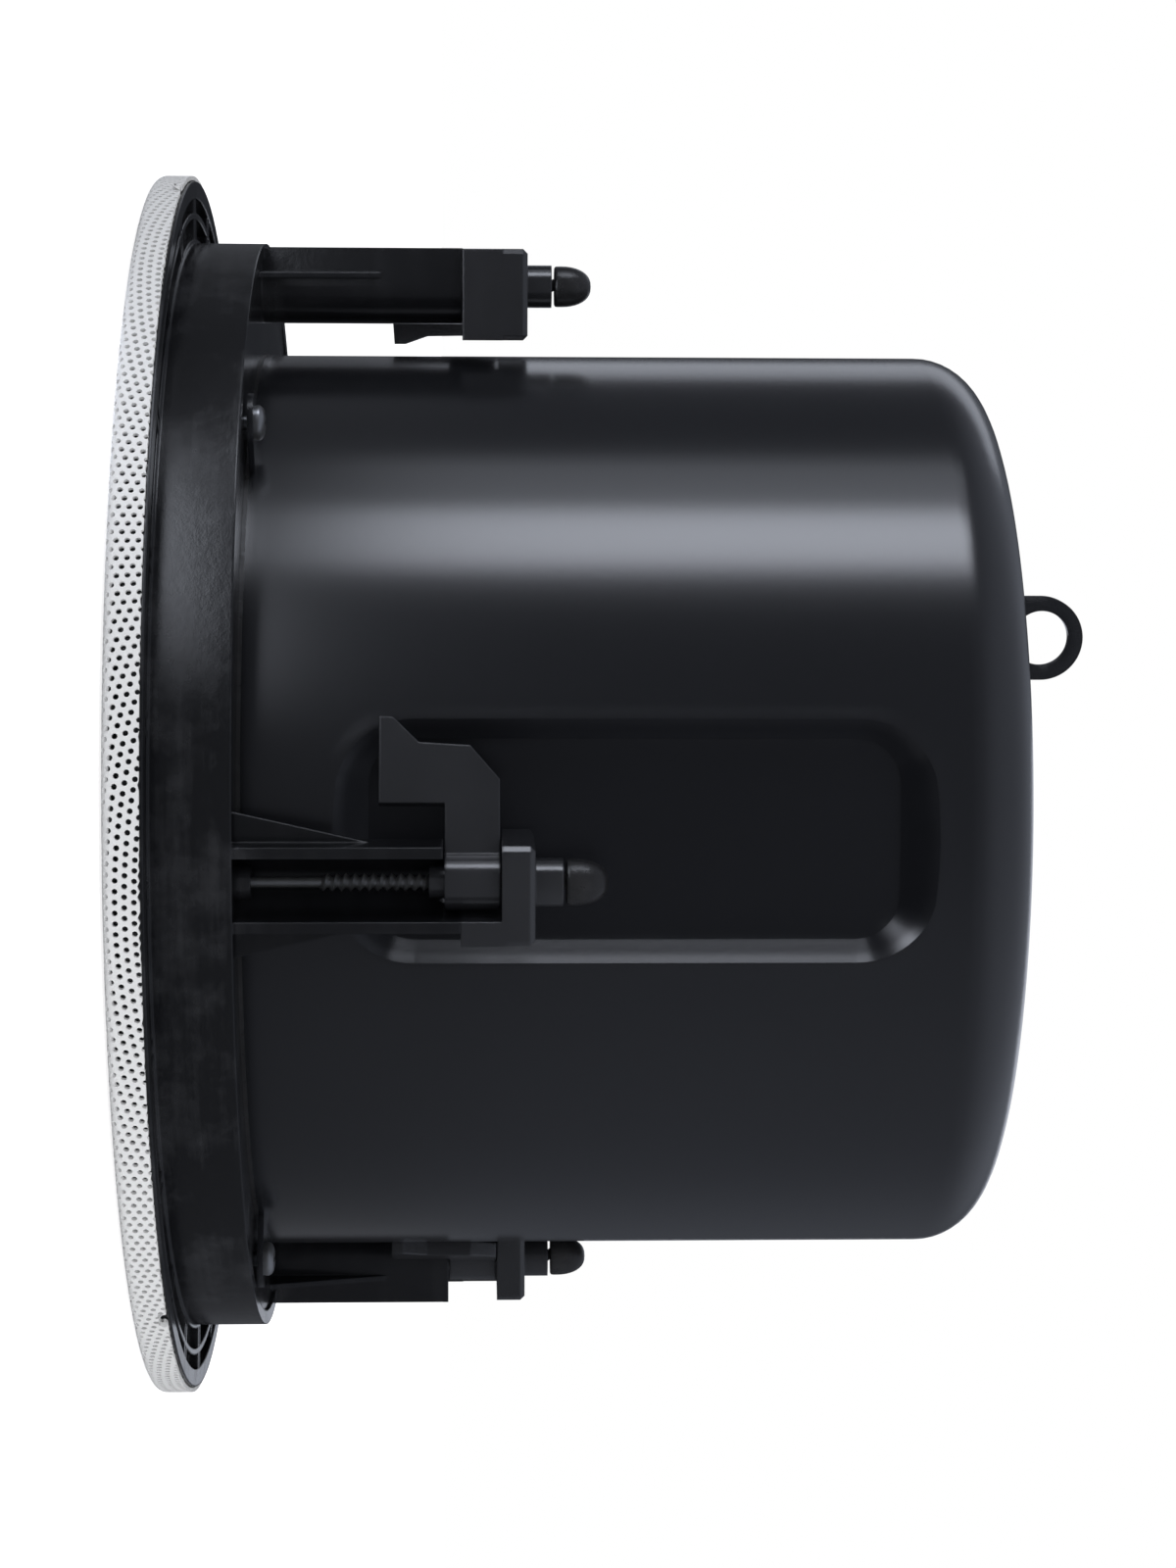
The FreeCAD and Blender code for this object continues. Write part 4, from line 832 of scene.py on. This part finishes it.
class LOUDSPEAKER_OT_fasteners(bpy.types.Operator):
    """Make the pan-head screws and the rivets"""

    bl_idname = "loudspeaker.fasteners"
    bl_label = "Small Fasteners"

    def execute(self, context):
        steel = black_steel(context.scene.loudspeaker_finish)
        tree = scatter_tree()
        for node, recessed in (("can_screws", True), ("terminal_screws", True), ("safety_rivets", False)):
            spots, radius, seat, top, foot = self.measure(node)
            pattern = self.pan_head(radius, seat, top, foot)
            if recessed:
                self.cut_cross(pattern, radius, seat, top)
            points = bpy.data.meshes.new("spots")
            points.from_pydata([(x, y, 0.0) for x, y in spots], [], [])
            mesh = grown(
                tree, {"Fastener": pattern, "Turn": FASTENER_TURN, "Material": steel}, base=points)
            bpy.data.objects.remove(pattern)
            smooth(mesh)
            new_piece(f"{node}_dressed", mesh, "frame", "black_screw", node)
        return {"FINISHED"}

    @staticmethod
    def measure(node):
        """The spots of like fasteners, their head's radius, and the heights of their seat, top and foot."""
        groups = []
        for x, y, z in sorted(tuple(vertex.co) for vertex in frame["nodes"][node].data.vertices):
            near = [g for g in groups if math.hypot(g[0][0] - x, g[0][1] - y) < FASTENER_SPACE]
            if near:
                near[0].append((x, y, z))
            else:
                groups.append([(x, y, z)])
        spots = []
        for group in groups:
            xs, ys, _ = zip(*group)
            spots.append(((min(xs) + max(xs)) / 2, (min(ys) + max(ys)) / 2))
        xs, _, zs = zip(*groups[0])
        radius = (max(xs) - min(xs)) / 2
        # The seat is the lowest height at which the head is at its widest.
        x0, y0 = spots[0]
        seat = min(round(z, 6) for x, y, z in groups[0] if math.hypot(x - x0, y - y0) > radius * 0.98)
        return spots, radius, seat, max(zs), min(zs)

    @staticmethod
    def pan_head(radius, seat, top, foot):
        """One fastener on the Z axis: a domed head on a shank."""
        edge = seat + (top - seat) * 0.3
        shank = radius * 0.42
        mesh = lathe([
            (0.0, foot), (shank, foot), (shank, seat), (radius * 0.96, seat),
            *dome(radius, edge, top, power=0.6, steps=6), (0.0, top)], sides=24)
        head = bpy.data.objects.new("fastener", mesh)
        bpy.context.scene.collection.objects.link(head)
        return head

    @staticmethod
    def cut_cross(head, radius, seat, top):
        """Cut a cross recess into a screw's head."""
        length, width, height = radius * 1.15, radius * 0.26, (top - seat) * 1.1
        form = bmesh.new()
        for turn in (0.0, QUARTER):
            place = Matrix.Rotation(turn, 4, "Z") @ Matrix.Translation((0.0, 0.0, top))
            block = place @ Matrix.Diagonal((length, width, height, 1.0))
            bmesh.ops.create_cube(form, size=1.0, matrix=block)
        mesh = bpy.data.meshes.new("cross")
        form.to_mesh(mesh)
        form.free()
        cutter = bpy.data.objects.new("cross", mesh)
        bpy.context.scene.collection.objects.link(cutter)
        cut = head.modifiers.new("cross", "BOOLEAN")
        cut.object = cutter
        cut.operation = "DIFFERENCE"
        cut.use_self = True
        ready = head.evaluated_get(bpy.context.evaluated_depsgraph_get())
        cut_mesh = bpy.data.meshes.new_from_object(ready)
        head.modifiers.clear()
        head.data = cut_mesh
        bpy.data.objects.remove(cutter)


class LOUDSPEAKER_OT_finishes(bpy.types.Operator):
    """Give every solid that stays its finish"""

    bl_idname = "loudspeaker.finishes"
    bl_label = "Finishes"

    def execute(self, context):
        colours = context.scene.loudspeaker_finish
        moulding = black_moulding(
            "black_moulding", colours.moulding, colours.scuff, drag_share=0.35, shine=0.55)
        nylon = black_moulding("black_nylon", colours.nylon, colours.scuff, drag_share=0.0, shine=0.9)
        paint = can_paint(colours)
        rubber = dull_rubber(colours)
        steel = black_steel(colours)
        zinc = two_tone(
            "zinc_plate", (0.42, 0.42, 0.42), (0.55, 0.55, 0.54), scale=300.0, rough=0.28, Metallic=1.0)
        finishes = {
            "bezel": moulding,
            "tweeter_cup": moulding,
            "selector_switch": moulding,
            "selector_knob": moulding,
            "back_can": paint,
            "safety_eye": paint,
            "terminal_cover": paint,
            "woofer_basket": paint,
            "can_gasket": rubber,
            "woofer_screws": steel,
            "tweeter_post": zinc,
            "woofer_top_plate": zinc,
            "woofer_yoke": zinc,
            "terminal_block": two_tone(
                "terminal_plastic", (0.03, 0.2, 0.08), (0.04, 0.24, 0.1), scale=400.0, rough=0.4),
            "woofer_magnet": two_tone(
                "ferrite", (0.03, 0.03, 0.032), (0.06, 0.06, 0.062), scale=700.0, rough=0.55),
            "woofer_voice_coil": two_tone(
                "copper_winding", (0.45, 0.18, 0.08), (0.65, 0.3, 0.14), scale=1500.0, rough=0.25,
                Metallic=0.9),
            "tweeter_dome": weave(
                "dome_cloth", (0.012, 0.012, 0.013), (0.03, 0.03, 0.032), threads=1600.0),
            "woofer_cone": two_tone(
                "cone_paper", (0.014, 0.014, 0.015), (0.03, 0.03, 0.03), scale=800.0, rough=0.6,
                relief=0.0001),
            "line_transformer": two_tone(
                "varnished_core", (0.09, 0.085, 0.08), (0.2, 0.18, 0.15), scale=250.0, rough=0.4),
            "crossover_board": two_tone(
                "circuit_board", (0.02, 0.11, 0.04), (0.04, 0.17, 0.07), scale=260.0, rough=0.35),
        }
        for number in CLAMPS:
            finishes[f"tower_cap_{number}"] = nylon
            finishes[f"clamp_dog_{number}"] = nylon
        for node, material in finishes.items():
            mesh = frame["nodes"][node].data
            mesh.materials.clear()
            mesh.materials.append(material)
        return {"FINISHED"}


class LOUDSPEAKER_OT_stage(bpy.types.Operator):
    """Make the floor, the lamps, the world and the camera"""

    bl_idname = "loudspeaker.stage"
    bl_label = "Stage"

    def execute(self, context):
        settings = context.scene.loudspeaker_stage
        towards = Vector((-math.sin(settings.azimuth), -math.cos(settings.azimuth), 0.0))
        upwards = Vector((-math.cos(settings.azimuth), math.sin(settings.azimuth), 0.0))
        self.add_camera(context, settings, towards)
        self.add_lamps(settings, towards, upwards)
        self.add_world(context, settings, towards, upwards)
        self.add_floor(settings, towards, upwards)
        context.scene.view_settings.view_transform = "Standard"
        return {"FINISHED"}

    @staticmethod
    def add_camera(context, settings, towards):
        data = bpy.data.cameras.new("camera")
        data.sensor_width = 36.0
        data.lens = settings.lens
        data.clip_start, data.clip_end = 0.01, 100.0
        camera = bpy.data.objects.new("camera", data)
        context.scene.collection.objects.link(camera)
        place = towards * settings.distance + Vector((0.0, 0.0, settings.height))
        back = (place - Vector((0.0, 0.0, settings.aim))).normalized()
        right = (Vector((0.0, 0.0, 1.0)) - back * back.z).normalized()
        up = back.cross(right)
        turned = Matrix((right, up, back)).transposed() @ Matrix.Rotation(settings.roll, 3, "Z")
        camera.matrix_world = Matrix.Translation(place) @ turned.to_4x4()
        context.scene.camera = camera

    @staticmethod
    def add_lamps(settings, towards, upwards):
        """Area lamps that face the loudspeaker's axis, their length along it."""
        along_axis = Vector((0.0, 0.0, 1.0))
        for name, nearer, higher, height, width, length, power, mirrored in LAMPS:
            data = bpy.data.lights.new(name, "AREA")
            data.shape = "RECTANGLE"
            data.size = width
            data.size_y = length
            data.energy = power
            data.color = settings.strip_colour if mirrored else settings.fill_colour
            lamp = bpy.data.objects.new(name, data)
            bpy.context.scene.collection.objects.link(lamp)
            offset = towards * nearer + upwards * higher
            back = offset.normalized()
            turned = Matrix((along_axis.cross(back), along_axis, back)).transposed()
            lamp.matrix_world = Matrix.Translation(offset + along_axis * height) @ turned.to_4x4()
            lamp.visible_camera = False
            lamp.visible_glossy = mirrored

    @staticmethod
    def add_world(context, settings, towards, upwards):
        """White to the camera, an even light on rough surfaces, and a dim room in reflections."""
        world = bpy.data.worlds.new("studio")
        world.use_nodes = True
        graph = Graph(world.node_tree)
        path = graph.add("ShaderNodeLightPath")
        shown = graph.math("MAXIMUM", path.out("Is Camera Ray"), path.out("Is Transmission Ray"))
        mirrored = path.out("Is Glossy Ray")
        direction = graph.add("ShaderNodeTexCoord")
        behind = graph.dot(direction, -towards)
        below = graph.math("MAXIMUM", graph.dot(direction, -upwards), 0.0)
        beyond = graph.split(direction)[2]
        backdrop = graph.ease(behind, 0.5, 1.0, SIDE_LEVEL, BACKDROP_LEVEL)
        ceiling = graph.ease(beyond, 0.15, 0.9, 0.0, CEILING_LEVEL)
        dim_room = backdrop + ceiling + below * GROUND_LEVEL
        unseen = mirrored * dim_room + (1.0 - mirrored) * settings.soft_light
        strength = shown + (1.0 - shown) * unseen
        tint = graph.blend(mirrored, WHITE, ROOM_TINT)
        sky = graph.add("ShaderNodeBackground", None, {"Color": tint, "Strength": strength})
        graph.add("ShaderNodeOutputWorld", None, {"Surface": sky})
        context.scene.world = world

    @staticmethod
    def add_floor(settings, towards, upwards):
        """A pale floor. In reflections it is dim, apart from the patch that gives the collar its sheen."""
        form = bmesh.new()
        bmesh.ops.create_grid(form, x_segments=8, y_segments=8, size=FLOOR_HALF)
        mesh = bpy.data.meshes.new("floor")
        form.to_mesh(mesh)
        form.free()
        mesh.transform(Matrix.Translation((0.0, 0.0, -FLOOR_DROP)))
        floor = bpy.data.objects.new("floor", mesh)
        bpy.context.scene.collection.objects.link(floor)
        material = bpy.data.materials.new("pale_floor")
        material.use_nodes = True
        graph = Graph(material.node_tree)
        path = graph.add("ShaderNodeLightPath")
        shown = graph.math("MAXIMUM", path.out("Is Camera Ray"), path.out("Is Transmission Ray"))
        lit = graph.add("ShaderNodeBsdfDiffuse", None, {"Color": FLOOR_GREY})
        glow = graph.add("ShaderNodeEmission", None, {"Color": WHITE, "Strength": shown * FLOOR_GLOW})
        seen = graph.add("ShaderNodeAddShader", None, {0: lit, 1: glow})
        spot = graph.add("ShaderNodeTexCoord").out("Object")
        nearer, higher = graph.dot(spot, towards), graph.dot(spot, upwards)
        off_patch = graph.math("ABSOLUTE", graph.math("ARCTAN2", higher, nearer) - SHEEN_TURN)
        patch = graph.ease(off_patch, 0.05, 0.4, 1.0, 0.0)
        close_by = graph.ease(graph.reach(nearer, higher), 0.24, 0.36, 1.0, 0.0)
        mirrored = graph.add("ShaderNodeEmission", None, {
            "Color": rgba(settings.strip_colour),
            "Strength": FLOOR_LEVEL + patch * close_by * SHEEN_LEVEL})
        surface = graph.add("ShaderNodeMixShader", None, {
            0: path.out("Is Glossy Ray"), 1: seen, 2: mirrored})
        graph.add("ShaderNodeOutputMaterial", None, {"Surface": surface})
        mesh.materials.append(material)


class LOUDSPEAKER_PT_panel(bpy.types.Panel):
    """The loudspeaker's settings and operators"""

    bl_idname = "LOUDSPEAKER_PT_panel"
    bl_label = "Loudspeaker"
    bl_space_type = "VIEW_3D"
    bl_region_type = "UI"
    bl_category = "Loudspeaker"

    def draw(self, context):
        for operator in OPERATORS:
            self.layout.operator(operator.bl_idname)
        for name in SETTINGS:
            group = getattr(context.scene, name)
            box = self.layout.box()
            for key in group.bl_rna.properties.keys():
                if key not in ("rna_type", "name"):
                    box.prop(group, key)


SETTINGS = {
    "loudspeaker_grille": GrilleSettings,
    "loudspeaker_screw": ScrewSettings,
    "loudspeaker_finish": FinishSettings,
    "loudspeaker_stage": StageSettings,
}
OPERATORS = (
    LOUDSPEAKER_OT_grille, LOUDSPEAKER_OT_clamp_screws, LOUDSPEAKER_OT_suspension,
    LOUDSPEAKER_OT_fasteners, LOUDSPEAKER_OT_finishes, LOUDSPEAKER_OT_stage,
)


def register():
    for kind in (*SETTINGS.values(), *OPERATORS, LOUDSPEAKER_PT_panel):
        bpy.utils.register_class(kind)
    for name, kind in SETTINGS.items():
        setattr(bpy.types.Scene, name, PointerProperty(type=kind))


def unregister():
    for name in SETTINGS:
        delattr(bpy.types.Scene, name)
    for kind in reversed((*SETTINGS.values(), *OPERATORS, LOUDSPEAKER_PT_panel)):
        bpy.utils.unregister_class(kind)


def main():
    register()
    bpy.ops.loudspeaker.stage()
    bpy.ops.loudspeaker.grille()
    bpy.ops.loudspeaker.clamp_screws()
    bpy.ops.loudspeaker.suspension()
    bpy.ops.loudspeaker.fasteners()
    bpy.ops.loudspeaker.finishes()


if __name__ == "__main__":
    main()
